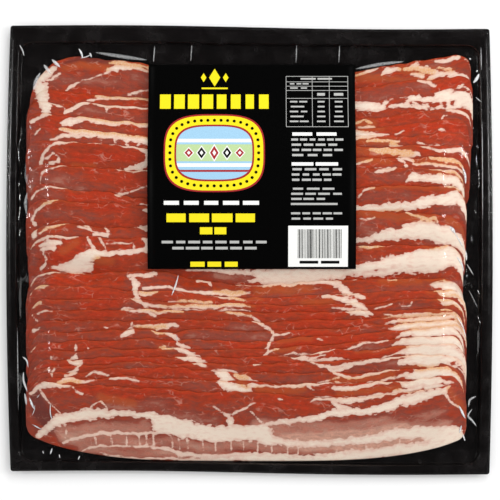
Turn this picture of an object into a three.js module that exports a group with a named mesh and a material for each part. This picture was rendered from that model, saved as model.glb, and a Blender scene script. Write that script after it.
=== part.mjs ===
// A one-kilogram vacuum pack of streaky bacon, lying on its black tray with the clear side up.
// Millimetres, +Z up, +Y towards the top of the label. The origin is the centre of the flat underside.
//
// The tray is a shallow formed web with a flat flange. In it lie 24 rashers, laid like roof shingles from the
// top of the pack to the bottom, so that each shows only a strip of its upper edge and the last one shows whole.
// A clear film is drawn down over them and sealed to the flange, and a square label is stuck on the film.

import * as THREE from "three";

// Outline of the pack: the long sides bow out and the ends waver, as the soft web does in a vacuum pack.
const PACK = { left: -136.5, right: 136.5, bottom: -127, top: 127, radius: 1.5 };
const LEFT_BOW = 2.5;
const RIGHT_BOW = 1.9;
const END_TILT = 0.9;
const END_WAVE = 0.7;

// Tray
const CAVITY = { left: -131.8, right: 131.2, bottom: -122.6, top: 118.5, radius: 8 };
const FLANGE_HEIGHT = 5; // top of the flange above the table
const WEB = 0.6; // wall of the tray
const WALL_DRAFT = 0.8; // how far the tray's wall leans in over its height
const WALL_FILLET = 1.0;
const CORNER_STEPS = 5;
const SIDE_STEPS = 8;

// Film and label
const FILM = 0.4;
const FILM_SLACK = 1.5; // height of the film over the edges that hold it up
const FILM_SAG = 0.25; // slope of the film beside such an edge
const FILM_REACH = 10; // beyond this distance from the edge the film comes down to the meat
const FILM_FALL = 0.9; // slope there
const LABEL = { left: -57.7, right: 59.7, bottom: -10.8, top: 105.4, thickness: 0.3 };

// Pile of rashers
const GAP = 0.4; // between one piece and the next
const PILE_HEIGHT = 20;
const FIRST_HEIGHT = 3.6; // top of the first rasher, which lies flat on the tray
const RAMP_LENGTH = 58; // over this distance the pile climbs from the first rasher to its full height
const TILT = 0.42; // rise over run of a shingled rasher
const FIRST_FOOT = 60; // where the first rasher ends and the tilt of the others begins
const THICKEST = 4.2;
const END_DROP = 0.45; // share of its height that the pile loses at the rashers' ends
const END_DROP_LENGTH = 16;
const FIRST_CORNER = { reach: 9, fall: 9 }; // rounding of the first rashers' upper corners
const LAST_CORNER = { reach: 13, fall: 14 }; // and of the last ones', which droop further
const FIRST_LEFT_CORNERS = [{ reach: 30, fall: 38 }, { reach: 12, fall: 14 }]; // the first two are cut rounder there
const CORNER_RANGE = [50, 10]; // Y of the middle of an exposed edge, over which the one becomes the other
const FOOT_CORNER = { reach: 5, fall: 5 }; // rounding of a rasher's lower corners
const FOOT_LIFT = { reach: 125, rise: 14.5, power: 3.7 }; // how the last lower edges curve up towards their ends
const LIFT_RANGE = [-40, -100]; // Y of a lower edge, over which it takes on that curve
const LEFT_END = -126.6;
const RIGHT_END = 122.2;
const RIGHT_END_TOP = 126.2; // the first rashers reach further to the right
const TOP_RANGE = [35, 80]; // Y of the middle of an exposed edge, over which the right end moves out to there
const END_JITTER = 0.9;
const EDGE_STATIONS = [-108.5, -57, 0, 57, 108]; // X of the places given for each exposed edge

// Y of each rasher's exposed edge at the stations, from the first laid to the last.
const EXPOSED_EDGES = [
  [112.0, 106.0, 104.3, 102.0, 110.0],
  [90.6, 86.1, 86.6, 92.3, 98.0],
  [83.8, 80.9, 78.7, 74.1, 79.8],
  [77.0, 71.3, 69.5, 68.4, 73.5],
  [69.5, 64.4, 63.8, 63.8, 65.6],
  [61.6, 57.6, 57.0, 58.1, 58.7],
  [47.9, 44.5, 46.7, 51.3, 52.4],
  [35.9, 29.6, 36.5, 45.6, 45.6],
  [27.9, 25.1, 26.8, 35.3, 35.9],
  [14.3, 12.5, 16.0, 21.7, 20.0],
  [8.0, 6.3, 4.0, 2.3, 2.9],
  [-13.1, -12.5, -20.0, -16.5, -16.5],
  [-20.0, -22.8, -26.8, -24.5, -22.2],
  [-27.4, -28.5, -30.8, -30.2, -27.4],
  [-33.6, -33.6, -34.8, -34.8, -32.5],
  [-39.9, -39.3, -39.9, -39.3, -36.5],
  [-46.2, -45.0, -45.6, -43.3, -39.3],
  [-51.9, -50.2, -51.3, -47.3, -43.3],
  [-57.0, -55.3, -55.9, -51.9, -47.9],
  [-62.1, -59.9, -60.4, -56.4, -52.4],
  [-65.6, -63.3, -64.4, -61.6, -58.7],
  [-69.0, -66.1, -69.0, -69.0, -65.6],
  [-71.8, -71.8, -74.1, -75.2, -71.3],
  [-74.7, -78.1, -80.4, -83.2, -77.0],
];

const mix = (a, b, share) => a + (b - a) * share;
const smooth = (share) => THREE.MathUtils.smoothstep(share, 0, 1);
const floorLevel = WEB + GAP;

// Slopes of a smooth curve at its stations, from the neighbouring stations.
function slopesOf(heights) {
  return heights.map((_, i) => {
    const [before, after] = [Math.max(i - 1, 0), Math.min(i + 1, heights.length - 1)];
    return (heights[after] - heights[before]) / (EDGE_STATIONS[after] - EDGE_STATIONS[before]);
  });
}

// Y of an exposed edge at x: a smooth curve through its heights at the stations, straight beyond the last ones.
function edgeAt(heights, x) {
  const slopes = slopesOf(heights);
  if (x <= EDGE_STATIONS[0]) return heights[0] + slopes[0] * (x - EDGE_STATIONS[0]);
  if (x >= EDGE_STATIONS.at(-1)) return heights.at(-1) + slopes.at(-1) * (x - EDGE_STATIONS.at(-1));
  const right = EDGE_STATIONS.findIndex((station) => station >= x);
  const left = right - 1;
  const span = EDGE_STATIONS[right] - EDGE_STATIONS[left];
  const t = (x - EDGE_STATIONS[left]) / span;
  return (
    (2 * t ** 3 - 3 * t ** 2 + 1) * heights[left] +
    (t ** 3 - 2 * t ** 2 + t) * span * slopes[left] +
    (3 * t ** 2 - 2 * t ** 3) * heights[right] +
    (t ** 3 - t ** 2) * span * slopes[right]
  );
}

// Height of the pile's top where an exposed edge lies at y on the middle line.
function pileTop(y) {
  const first = edgeAt(EXPOSED_EDGES[0], 0);
  return mix(FIRST_HEIGHT, PILE_HEIGHT, smooth((first - y) / RAMP_LENGTH));
}

// How far every rasher has come down at y: they lie flat above the first foot and tilted below it.
const tiltDrop = (y) => TILT * Math.max(0, FIRST_FOOT - y);

// Share of its height that the pile keeps at x: the film presses the ends down.
function endShare(x) {
  const inside = Math.min(x - LEFT_END, RIGHT_END - x);
  return 1 - END_DROP * (1 - smooth(inside / END_DROP_LENGTH));
}

// Every rasher is the same slanting slab, pushed up the slant by those beneath it, so no two can meet. Each has
// the height of its underside and its top before the tilt, and its foot, where the underside reaches the tray.
function shingles() {
  const middles = EXPOSED_EDGES.map((heights) => edgeAt(heights, 0));
  const tops = middles.map((middle) => pileTop(middle) + tiltDrop(middle));
  return EXPOSED_EDGES.map((heights, i) => {
    const lowest = i === 0 ? floorLevel / (1 - END_DROP) : tops[i - 1] + GAP / (1 - END_DROP);
    const under = Math.max(lowest, tops[i] - THICKEST);
    const towardsTop = smooth((middles[i] - TOP_RANGE[0]) / (TOP_RANGE[1] - TOP_RANGE[0]));
    const drooping = smooth((middles[i] - CORNER_RANGE[0]) / (CORNER_RANGE[1] - CORNER_RANGE[0]));
    const foot = FIRST_FOOT - (under - floorLevel / (1 - END_DROP)) / TILT;
    const corner = {
      reach: mix(FIRST_CORNER.reach, LAST_CORNER.reach, drooping),
      fall: mix(FIRST_CORNER.fall, LAST_CORNER.fall, drooping),
    };
    return {
      heights,
      under,
      top: tops[i],
      foot,
      lift: FOOT_LIFT.rise * smooth((foot - LIFT_RANGE[0]) / (LIFT_RANGE[1] - LIFT_RANGE[0])),
      corner,
      leftCorner: FIRST_LEFT_CORNERS[i] ?? corner,
      left: LEFT_END + END_JITTER * Math.sin(2.1 * i),
      right: mix(RIGHT_END, RIGHT_END_TOP, towardsTop) + END_JITTER * Math.sin(1.7 * i),
    };
  });
}

const heightAt = (level, x, y) => (level - tiltDrop(y)) * endShare(x);

// How far a rounded corner takes the edge in at the given distance from a rasher's end.
function cornerFall({ reach, fall }, inside) {
  const share = THREE.MathUtils.clamp(1 - inside / reach, 0, 1);
  return fall * (1 - Math.sqrt(1 - share ** 2));
}

// Lower and upper limit of a rasher at x, with its corners rounded.
function spanAt({ heights, foot, lift, corner, leftCorner, left, right }, x) {
  const inside = Math.min(x - left, right - x);
  const lower = foot + lift * (Math.abs(x) / FOOT_LIFT.reach) ** FOOT_LIFT.power;
  const upper = edgeAt(heights, x) - cornerFall(x < 0 ? leftCorner : corner, inside);
  return [lower + cornerFall(FOOT_CORNER, inside), upper];
}

function geometryFrom(positions, triangles) {
  const geometry = new THREE.BufferGeometry();
  geometry.setAttribute("position", new THREE.Float32BufferAttribute(positions, 3));
  geometry.setIndex(triangles);
  geometry.computeVertexNormals();
  return geometry;
}

// One closed mesh from rings of points, all of one length: neighbouring rings are joined, and the first and the
// last are closed by a fan round their middle. Each ring runs anticlockwise as seen from above.
function solidFromRings(rings) {
  const count = rings[0].length;
  const positions = rings.flat(2);
  const triangles = [];
  for (let r = 0; r + 1 < rings.length; r += 1) {
    for (let i = 0; i < count; i += 1) {
      const next = (i + 1) % count;
      const [a, b] = [r * count + i, r * count + next];
      triangles.push(a, b, b + count, a, b + count, a + count);
    }
  }
  const centre = (ring) => [0, 1, 2].map((axis) => ring.reduce((sum, point) => sum + point[axis], 0) / count);
  const middle = positions.length / 3;
  positions.push(...centre(rings[0]), ...centre(rings.at(-1)));
  const last = (rings.length - 1) * count;
  for (let i = 0; i < count; i += 1) {
    const next = (i + 1) % count;
    triangles.push(middle, next, i, middle + 1, last + i, last + next);
  }
  return geometryFrom(positions, triangles);
}

// One closed slab from a grid of columns of points [x, y], given the height of its top and underside there.
function slabFromGrid(columns, topOf, underOf) {
  const rows = columns[0].length;
  const points = columns.flat();
  const positions = [topOf, underOf].flatMap((heightOf) => points.flatMap(([x, y]) => [x, y, heightOf(x, y)]));
  const below = points.length;
  const at = (column, row) => column * rows + row;
  const triangles = [];
  for (let c = 0; c + 1 < columns.length; c += 1) {
    for (let r = 0; r + 1 < rows; r += 1) {
      const [a, b, d, e] = [at(c, r), at(c + 1, r), at(c + 1, r + 1), at(c, r + 1)];
      triangles.push(a, b, d, a, d, e);
      triangles.push(below + a, below + d, below + b, below + a, below + e, below + d);
    }
  }
  const rim = [];
  for (let c = 0; c + 1 < columns.length; c += 1) rim.push(at(c, 0));
  for (let r = 0; r + 1 < rows; r += 1) rim.push(at(columns.length - 1, r));
  for (let c = columns.length - 1; c > 0; c -= 1) rim.push(at(c, rows - 1));
  for (let r = rows - 1; r > 0; r -= 1) rim.push(at(0, r));
  rim.forEach((a, i) => {
    const b = rim[(i + 1) % rim.length];
    triangles.push(below + a, below + b, b, below + a, b, a);
  });
  return geometryFrom(positions, triangles);
}

// Points round a rectangle with round corners, anticlockwise from its lower right corner.
function roundedRectangle({ left, right, bottom, top, radius }) {
  const corners = [
    [right - radius, bottom + radius, -90],
    [right - radius, top - radius, 0],
    [left + radius, top - radius, 90],
    [left + radius, bottom + radius, 180],
  ];
  const onArc = ([x, y], degrees) => {
    const angle = THREE.MathUtils.degToRad(degrees);
    return [x + radius * Math.cos(angle), y + radius * Math.sin(angle)];
  };
  return corners.flatMap((corner, i) => {
    const points = [];
    for (let step = 0; step <= CORNER_STEPS; step += 1) {
      points.push(onArc(corner, corner[2] + (90 * step) / CORNER_STEPS));
    }
    const next = corners[(i + 1) % corners.length];
    const [from, to] = [points.at(-1), onArc(next, next[2])];
    for (let step = 1; step < SIDE_STEPS; step += 1) {
      points.push([mix(from[0], to[0], step / SIDE_STEPS), mix(from[1], to[1], step / SIDE_STEPS)]);
    }
    return points;
  });
}

// Moves a point of a straight outline to its place on the soft web.
function bowed([x, y]) {
  const across = x / PACK.right;
  const along = y / PACK.top;
  const bow = (x < 0 ? -LEFT_BOW : RIGHT_BOW) * Math.abs(across) ** 3 * (1 - along ** 2);
  const waver = -END_TILT * across - END_WAVE * Math.sin(Math.PI * across);
  return [x + bow, y + waver * Math.abs(along) ** 3];
}

const inset = (box, distance) => ({
  left: box.left + distance,
  right: box.right - distance,
  bottom: box.bottom + distance,
  top: box.top - distance,
  radius: box.radius - distance,
});

function trayGeometry() {
  const ringAt = (box, height) => roundedRectangle(box).map((point) => [...bowed(point), height]);
  return solidFromRings([
    ringAt(inset(CAVITY, WALL_DRAFT + WALL_FILLET), 0),
    ringAt(inset(CAVITY, WALL_DRAFT), WALL_FILLET),
    ringAt(CAVITY, FLANGE_HEIGHT - WEB),
    ringAt(PACK, FLANGE_HEIGHT - WEB),
    ringAt(PACK, FLANGE_HEIGHT),
    ringAt(inset(CAVITY, WEB), FLANGE_HEIGHT),
    ringAt(inset(CAVITY, WALL_DRAFT + WEB), WEB + WALL_FILLET),
    ringAt(inset(CAVITY, WALL_DRAFT + WALL_FILLET + WEB), WEB),
  ]);
}

// Values from the first mark to the last, with the given number of equal steps between each mark and the next.
function stations(marks, steps) {
  const values = [marks[0]];
  steps.forEach((count, i) => {
    for (let step = 1; step <= count; step += 1) values.push(mix(marks[i], marks[i + 1], step / count));
  });
  return values;
}

// The rashers share their columns, so that one lies on the next like sheets of one stack.
const END_INSET = 3;
const LEAST_ROW = 0.1;
const rasherColumns = stations(
  [LEFT_END + END_INSET, LEFT_END + END_DROP_LENGTH, RIGHT_END - END_DROP_LENGTH, RIGHT_END - END_INSET],
  [4, 8, 4],
);

// Places of the rows of points across a rasher. One that bends has a row where its tilt begins.
function rowsBetween(lower, upper, bends) {
  if (!bends) return stations([lower, upper], [3]);
  const bend = THREE.MathUtils.clamp(FIRST_FOOT, lower + LEAST_ROW, upper - LEAST_ROW);
  return stations([lower, bend, upper], [2, 2]);
}

function rasherGeometry(shingle) {
  const bends = shingle.foot < FIRST_FOOT && Math.max(...shingle.heights) > FIRST_FOOT;
  const columns = [shingle.left, ...rasherColumns, shingle.right].map((x) =>
    rowsBetween(...spanAt(shingle, x), bends).map((y) => [x, y]),
  );
  return slabFromGrid(
    columns,
    (x, y) => heightAt(shingle.top, x, y),
    (x, y) => heightAt(shingle.under, x, y),
  );
}

// Points on top of the rashers that hold up the film, a few millimetres apart.
const SAMPLE_STEP = 4;
function supports(pile) {
  const points = [];
  for (const shingle of pile) {
    for (let x = shingle.left; x <= shingle.right; x += SAMPLE_STEP) {
      const [lower, upper] = spanAt(shingle, x);
      for (let y = upper; y > lower; y -= SAMPLE_STEP) points.push([x, y, heightAt(shingle.top, x, y)]);
    }
  }
  return points;
}

// Underside of the film at a point: it hangs like a tent from what holds it up, and rests on the flange.
function filmUnder(points, x, y) {
  let height = FLANGE_HEIGHT + GAP;
  if (x <= CAVITY.left || x >= CAVITY.right || y <= CAVITY.bottom || y >= CAVITY.top) return height;
  for (const [px, py, pz] of points) {
    const distance = Math.hypot(x - px, y - py);
    const drop = FILM_SAG * distance + FILM_FALL * Math.max(0, distance - FILM_REACH);
    height = Math.max(height, pz + FILM_SLACK - drop);
  }
  return height;
}

// The film's lines run along the pack's edge, the cavity, the rashers' ends and the label's sides.
const SHOULDER = 4.4; // from the cavity's edge to where the film has climbed onto the pile
const acrossMarks = [PACK.left, CAVITY.left, CAVITY.left + SHOULDER, LEFT_END + END_DROP_LENGTH, LABEL.left];
const acrossMarksRight = [LABEL.right, RIGHT_END - END_DROP_LENGTH, RIGHT_END, CAVITY.right, PACK.right];
const filmColumns = stations([...acrossMarks, ...acrossMarksRight], [1, 1, 3, 4, 8, 4, 3, 1, 1]);
const alongMarks = [PACK.bottom, CAVITY.bottom, CAVITY.bottom + SHOULDER, LABEL.bottom, LABEL.top, CAVITY.top, PACK.top];
const filmRows = stations(alongMarks, [1, 1, 13, 14, 2, 1]);
const SAME_PLACE = 1e-6; // millimetres within which a line of the film counts as a side of the label

function filmGrid() {
  const onEdge = (x, y) => x === PACK.left || x === PACK.right || y === PACK.bottom || y === PACK.top;
  return filmColumns.map((x) => filmRows.map((y) => ({ x, y, place: onEdge(x, y) ? bowed([x, y]) : [x, y] })));
}

// Film and label share one set of heights, kept by place.
function filmAndLabel(pile) {
  const points = supports(pile);
  const heights = new Map();
  const grid = filmGrid();
  for (const { x, y, place } of grid.flat()) heights.set(place.join(), filmUnder(points, x, y));
  const under = (x, y) => heights.get([x, y].join());
  const above = (lift) => (x, y) => under(x, y) + lift;
  const between = (value, low, high) => value >= low - SAME_PLACE && value <= high + SAME_PLACE;
  const labelGrid = grid
    .filter(([{ x }]) => between(x, LABEL.left, LABEL.right))
    .map((column) => column.filter(({ y }) => between(y, LABEL.bottom, LABEL.top)));
  const places = (columns) => columns.map((column) => column.map(({ place }) => place));
  return {
    film: slabFromGrid(places(grid), above(FILM), under),
    label: slabFromGrid(places(labelGrid), above(FILM + GAP + LABEL.thickness), above(FILM + GAP)),
  };
}

const blackWeb = new THREE.MeshStandardMaterial({ color: 0x0e0c0c, roughness: 0.32 });
const clearFilm = new THREE.MeshStandardMaterial({
  color: 0xffffff,
  roughness: 0.08,
  transparent: true,
  opacity: 0.18,
});
const labelStock = new THREE.MeshStandardMaterial({ color: 0x050505, roughness: 0.5 });
const curedPork = new THREE.MeshStandardMaterial({ color: 0xa8442e, roughness: 0.45 });

function named(name, geometry, material) {
  const mesh = new THREE.Mesh(geometry, material);
  mesh.name = name;
  return mesh;
}

const pile = shingles();
const { film, label } = filmAndLabel(pile);
const pack = new THREE.Group();
pack.add(named("tray", trayGeometry(), blackWeb));
pile.forEach((shingle, i) => {
  const number = String(i + 1).padStart(2, "0");
  pack.add(named(`rasher_${number}`, rasherGeometry(shingle), curedPork));
});
pack.add(named("top_film", film, clearFilm));
pack.add(named("label", label, labelStock));

export default pack;
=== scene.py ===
"""A one-kilogram vacuum pack of streaky bacon, lying clear side up on a pale studio floor.

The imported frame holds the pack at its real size: a black formed tray, 24 rashers laid like roof shingles,
the film drawn down over them and a square label. Here each of them gets its fine surface and its finish.
All sizes in the classes are millimetres in the pack's own frame, and meshes are made in metres.
"""

import logging
import math
from dataclasses import dataclass, field
from enum import Enum
from functools import partial

import bpy
import numpy as np
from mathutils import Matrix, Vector


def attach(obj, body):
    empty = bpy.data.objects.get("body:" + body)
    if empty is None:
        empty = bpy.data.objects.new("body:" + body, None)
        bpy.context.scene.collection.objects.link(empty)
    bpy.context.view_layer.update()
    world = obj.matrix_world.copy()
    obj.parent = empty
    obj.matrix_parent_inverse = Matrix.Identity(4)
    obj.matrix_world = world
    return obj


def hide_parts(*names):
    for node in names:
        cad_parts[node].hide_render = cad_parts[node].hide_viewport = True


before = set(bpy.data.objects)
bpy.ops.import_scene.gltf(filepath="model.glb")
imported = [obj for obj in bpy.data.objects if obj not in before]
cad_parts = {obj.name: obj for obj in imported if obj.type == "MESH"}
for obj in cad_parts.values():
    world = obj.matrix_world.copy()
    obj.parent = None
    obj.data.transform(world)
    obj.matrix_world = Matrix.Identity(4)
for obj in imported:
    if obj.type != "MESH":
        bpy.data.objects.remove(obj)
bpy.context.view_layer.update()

MM = 0.001
BODY = "root"
log = logging.getLogger("bacon_pack")

Array = np.ndarray


# Colour and shader nodes


def linear(hex_colour: str, alpha: float = 1.0) -> tuple[float, float, float, float]:
    """Turn an sRGB hex colour into the linear values that Blender's sockets take.

    Args:
        hex_colour: Six hex digits, such as "a8442e".
        alpha: The fourth value.

    Returns:
        Red, green, blue and alpha.
    """
    channels = [int(hex_colour[i : i + 2], 16) / 255 for i in (0, 2, 4)]
    red, green, blue = (c / 12.92 if c <= 0.04045 else ((c + 0.055) / 1.055) ** 2.4 for c in channels)
    return red, green, blue, alpha


def add_node(
    tree: bpy.types.NodeTree, kind: str, settings: dict | None = None, **links: object
) -> bpy.types.Node:
    """Add one node to a tree.

    Args:
        tree: The tree of a material, of the room or of Geometry Nodes.
        kind: The node's type.
        settings: Properties of the node, such as its operation.
        **links: Inputs by socket name, with spaces as underscores, or by number after an underscore.
            A value sets the socket, and a socket or a node is linked to it.

    Returns:
        The new node.
    """
    node = tree.nodes.new(kind)
    for name, value in (settings or {}).items():
        setattr(node, name, value)
    for name, value in links.items():
        key = name[1:] if name.startswith("_") else name.replace("_", " ")
        socket = node.inputs[int(key)] if key.isdigit() else node.inputs[key]
        if isinstance(value, bpy.types.Node):
            value = value.outputs[0]
        if isinstance(value, bpy.types.NodeSocket):
            tree.links.new(value, socket)
        else:
            socket.default_value = value
    return node


@dataclass
class ShaderTree:
    """The node tree of one material, with a short way to add to it."""

    material: bpy.types.Material

    @classmethod
    def begin(cls, name: str) -> "ShaderTree":
        """Start a material whose tree holds only its output."""
        material = bpy.data.materials.new(name)
        material.use_nodes = True
        material.node_tree.nodes.clear()
        return cls(material)

    def add(self, kind: str, settings: dict | None = None, **links: object) -> bpy.types.Node:
        """Add one node, with its type given without the ShaderNode prefix."""
        return add_node(self.material.node_tree, "ShaderNode" + kind, settings, **links)

    def place(self) -> bpy.types.NodeSocket:
        """Give the place on the pack, in metres."""
        return self.add("TexCoord").outputs["Object"]

    def value(self, name: str) -> bpy.types.NodeSocket:
        """Give the value of one of the mesh's attributes."""
        return self.add("Attribute", {"attribute_name": name}).outputs["Fac"]

    def math(self, operation: str, *values: object, clamp: bool = False) -> bpy.types.Node:
        """Add a Math node with its inputs in order."""
        settings = {"operation": operation, "use_clamp": clamp}
        return self.add("Math", settings, **{f"_{i}": value for i, value in enumerate(values)})

    def mix(self, share: object, first: object, second: object, blend: str = "MIX") -> bpy.types.NodeSocket:
        """Mix two colours and return the result's socket."""
        settings = {"data_type": "RGBA", "blend_type": blend}
        return self.add("Mix", settings, _0=share, _6=first, _7=second).outputs[2]

    def ramp(
        self, value: object, low: float, high: float, to: tuple[float, float] = (0.0, 1.0)
    ) -> bpy.types.Node:
        """Turn a value between low and high into a smooth step between the two values of to."""
        settings = {"interpolation_type": "SMOOTHSTEP"}
        return self.add("MapRange", settings, _0=value, _1=low, _2=high, _3=to[0], _4=to[1])

    def finish(self, shader: bpy.types.Node) -> bpy.types.Material:
        """Link the shader to the output and return the material."""
        self.add("OutputMaterial", Surface=shader)
        return self.material


@dataclass(frozen=True)
class BlackWebFinish:
    """Thermoformed black plastic web: glossy with a fine haze and faint waves that break its reflections."""

    name: str = "thermoformed_black_plastic_web"
    colour: str = "0e0b0b"
    haze: str = "1c1919"
    haze_mm: float = 9.0
    ripple_mm: float = 5.0

    def make(self) -> bpy.types.Material:
        """Build the material."""
        tree = ShaderTree.begin(self.name)
        place = tree.place()
        cloud = tree.add("TexNoise", Vector=place, Scale=1 / (self.haze_mm * MM), Detail=3.0)
        ripple = tree.add("TexNoise", Vector=place, Scale=1 / (self.ripple_mm * MM), Detail=1.0)
        share = tree.ramp(cloud, 0.42, 0.75)
        colour = tree.mix(share.outputs[0], linear(self.colour), linear(self.haze))
        bump = tree.add("Bump", Strength=0.25, Distance=0.4 * MM, Height=ripple)
        roughness = tree.ramp(cloud, 0.3, 0.7, (0.16, 0.28))
        return tree.finish(
            tree.add("BsdfPrincipled", Base_Color=colour, Roughness=roughness, IOR=1.46, Normal=bump)
        )


@dataclass(frozen=True)
class ClearFilmFinish:
    """Clear drawn vacuum film: see-through, with sharp glints where it is creased."""

    name: str = "clear_drawn_vacuum_film"
    roughness: float = 0.09
    index: float = 1.5
    crease_mm: float = 2.6

    def make(self) -> bpy.types.Material:
        """Build the material."""
        tree = ShaderTree.begin(self.name)
        place = tree.place()
        fine = 1 / (self.crease_mm * MM)
        crease = tree.add("TexNoise", Vector=place, Scale=fine, Detail=2.0, Distortion=0.6)
        bump = tree.add("Bump", Strength=0.35, Distance=0.35 * MM, Height=crease)
        clear = tree.add("BsdfTransparent", Color=(1, 1, 1, 1))
        gloss = tree.add("BsdfAnisotropic", Color=(1, 1, 1, 1), Roughness=self.roughness, Normal=bump)
        # Light that leaves the film from inside meets its second face, which adds no gloss of its own.
        outside = tree.math("SUBTRACT", 1.0, tree.add("NewGeometry").outputs["Backfacing"])
        share = tree.math("MULTIPLY", tree.add("Fresnel", IOR=self.index, Normal=bump), outside)
        return tree.finish(tree.add("MixShader", _0=share, _1=clear, _2=gloss))


@dataclass(frozen=True)
class PaintedGlintFilmFinish:
    """Sharp creases of the same film, with painted highlights: white where they stand for the film's glints.

    It reads one attribute: the share of each crease painted white as a glint.
    """

    name: str = "milky_creased_vacuum_film"
    # The white painted on the creases as their glints.
    colour: str = "f4f5f6"
    break_mm: float = 1.1

    def make(self) -> bpy.types.Material:
        """Build the material."""
        tree = ShaderTree.begin(self.name)
        place = tree.place()
        breaks = tree.add("TexNoise", Vector=place, Scale=1 / (self.break_mm * MM))
        broken = tree.ramp(breaks, 0.3, 0.6, (0.45, 1.0))
        # Painted highlight: each crease is white by its glint share, broken up by the noise.
        share = tree.math("MULTIPLY", tree.value("milk"), broken, clamp=True)
        clear = tree.add("BsdfTransparent", Color=(1, 1, 1, 1))
        white = tree.add("BsdfPrincipled", Base_Color=linear(self.colour), Roughness=0.25, IOR=1.5)
        return tree.finish(tree.add("MixShader", _0=share, _1=clear, _2=white))


@dataclass(frozen=True)
class LabelStockFinish:
    """Black laminated label paper: even and dark, with a soft sheen."""

    name: str = "black_laminated_label_paper"
    colour: str = "030303"
    fibre: str = "060606"
    fibre_mm: float = 0.7

    def make(self) -> bpy.types.Material:
        """Build the material."""
        tree = ShaderTree.begin(self.name)
        place = tree.place()
        fibre = tree.add("TexNoise", Vector=place, Scale=1 / (self.fibre_mm * MM), Detail=2.0)
        colour = tree.mix(fibre, linear(self.colour), linear(self.fibre))
        bump = tree.add("Bump", Strength=0.08, Distance=0.05 * MM, Height=fibre)
        return tree.finish(
            tree.add("BsdfPrincipled", Base_Color=colour, Roughness=0.45, IOR=1.2, Normal=bump)
        )


@dataclass(frozen=True)
class PrintedInkFinish:
    """Flexographic ink on the label: a flat field of colour with a faint dot gain."""

    name: str
    colour: str
    dot_mm: float = 0.5

    def make(self) -> bpy.types.Material:
        """Build the material."""
        tree = ShaderTree.begin(self.name)
        place = tree.place()
        dots = tree.add("TexNoise", Vector=place, Scale=1 / (self.dot_mm * MM), Detail=1.0)
        shade = tree.ramp(dots, 0.3, 0.7, (0.93, 1.0))
        colour = tree.mix(1.0, linear(self.colour), shade, "MULTIPLY")
        return tree.finish(tree.add("BsdfPrincipled", Base_Color=colour, Roughness=0.5, IOR=1.45))


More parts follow.
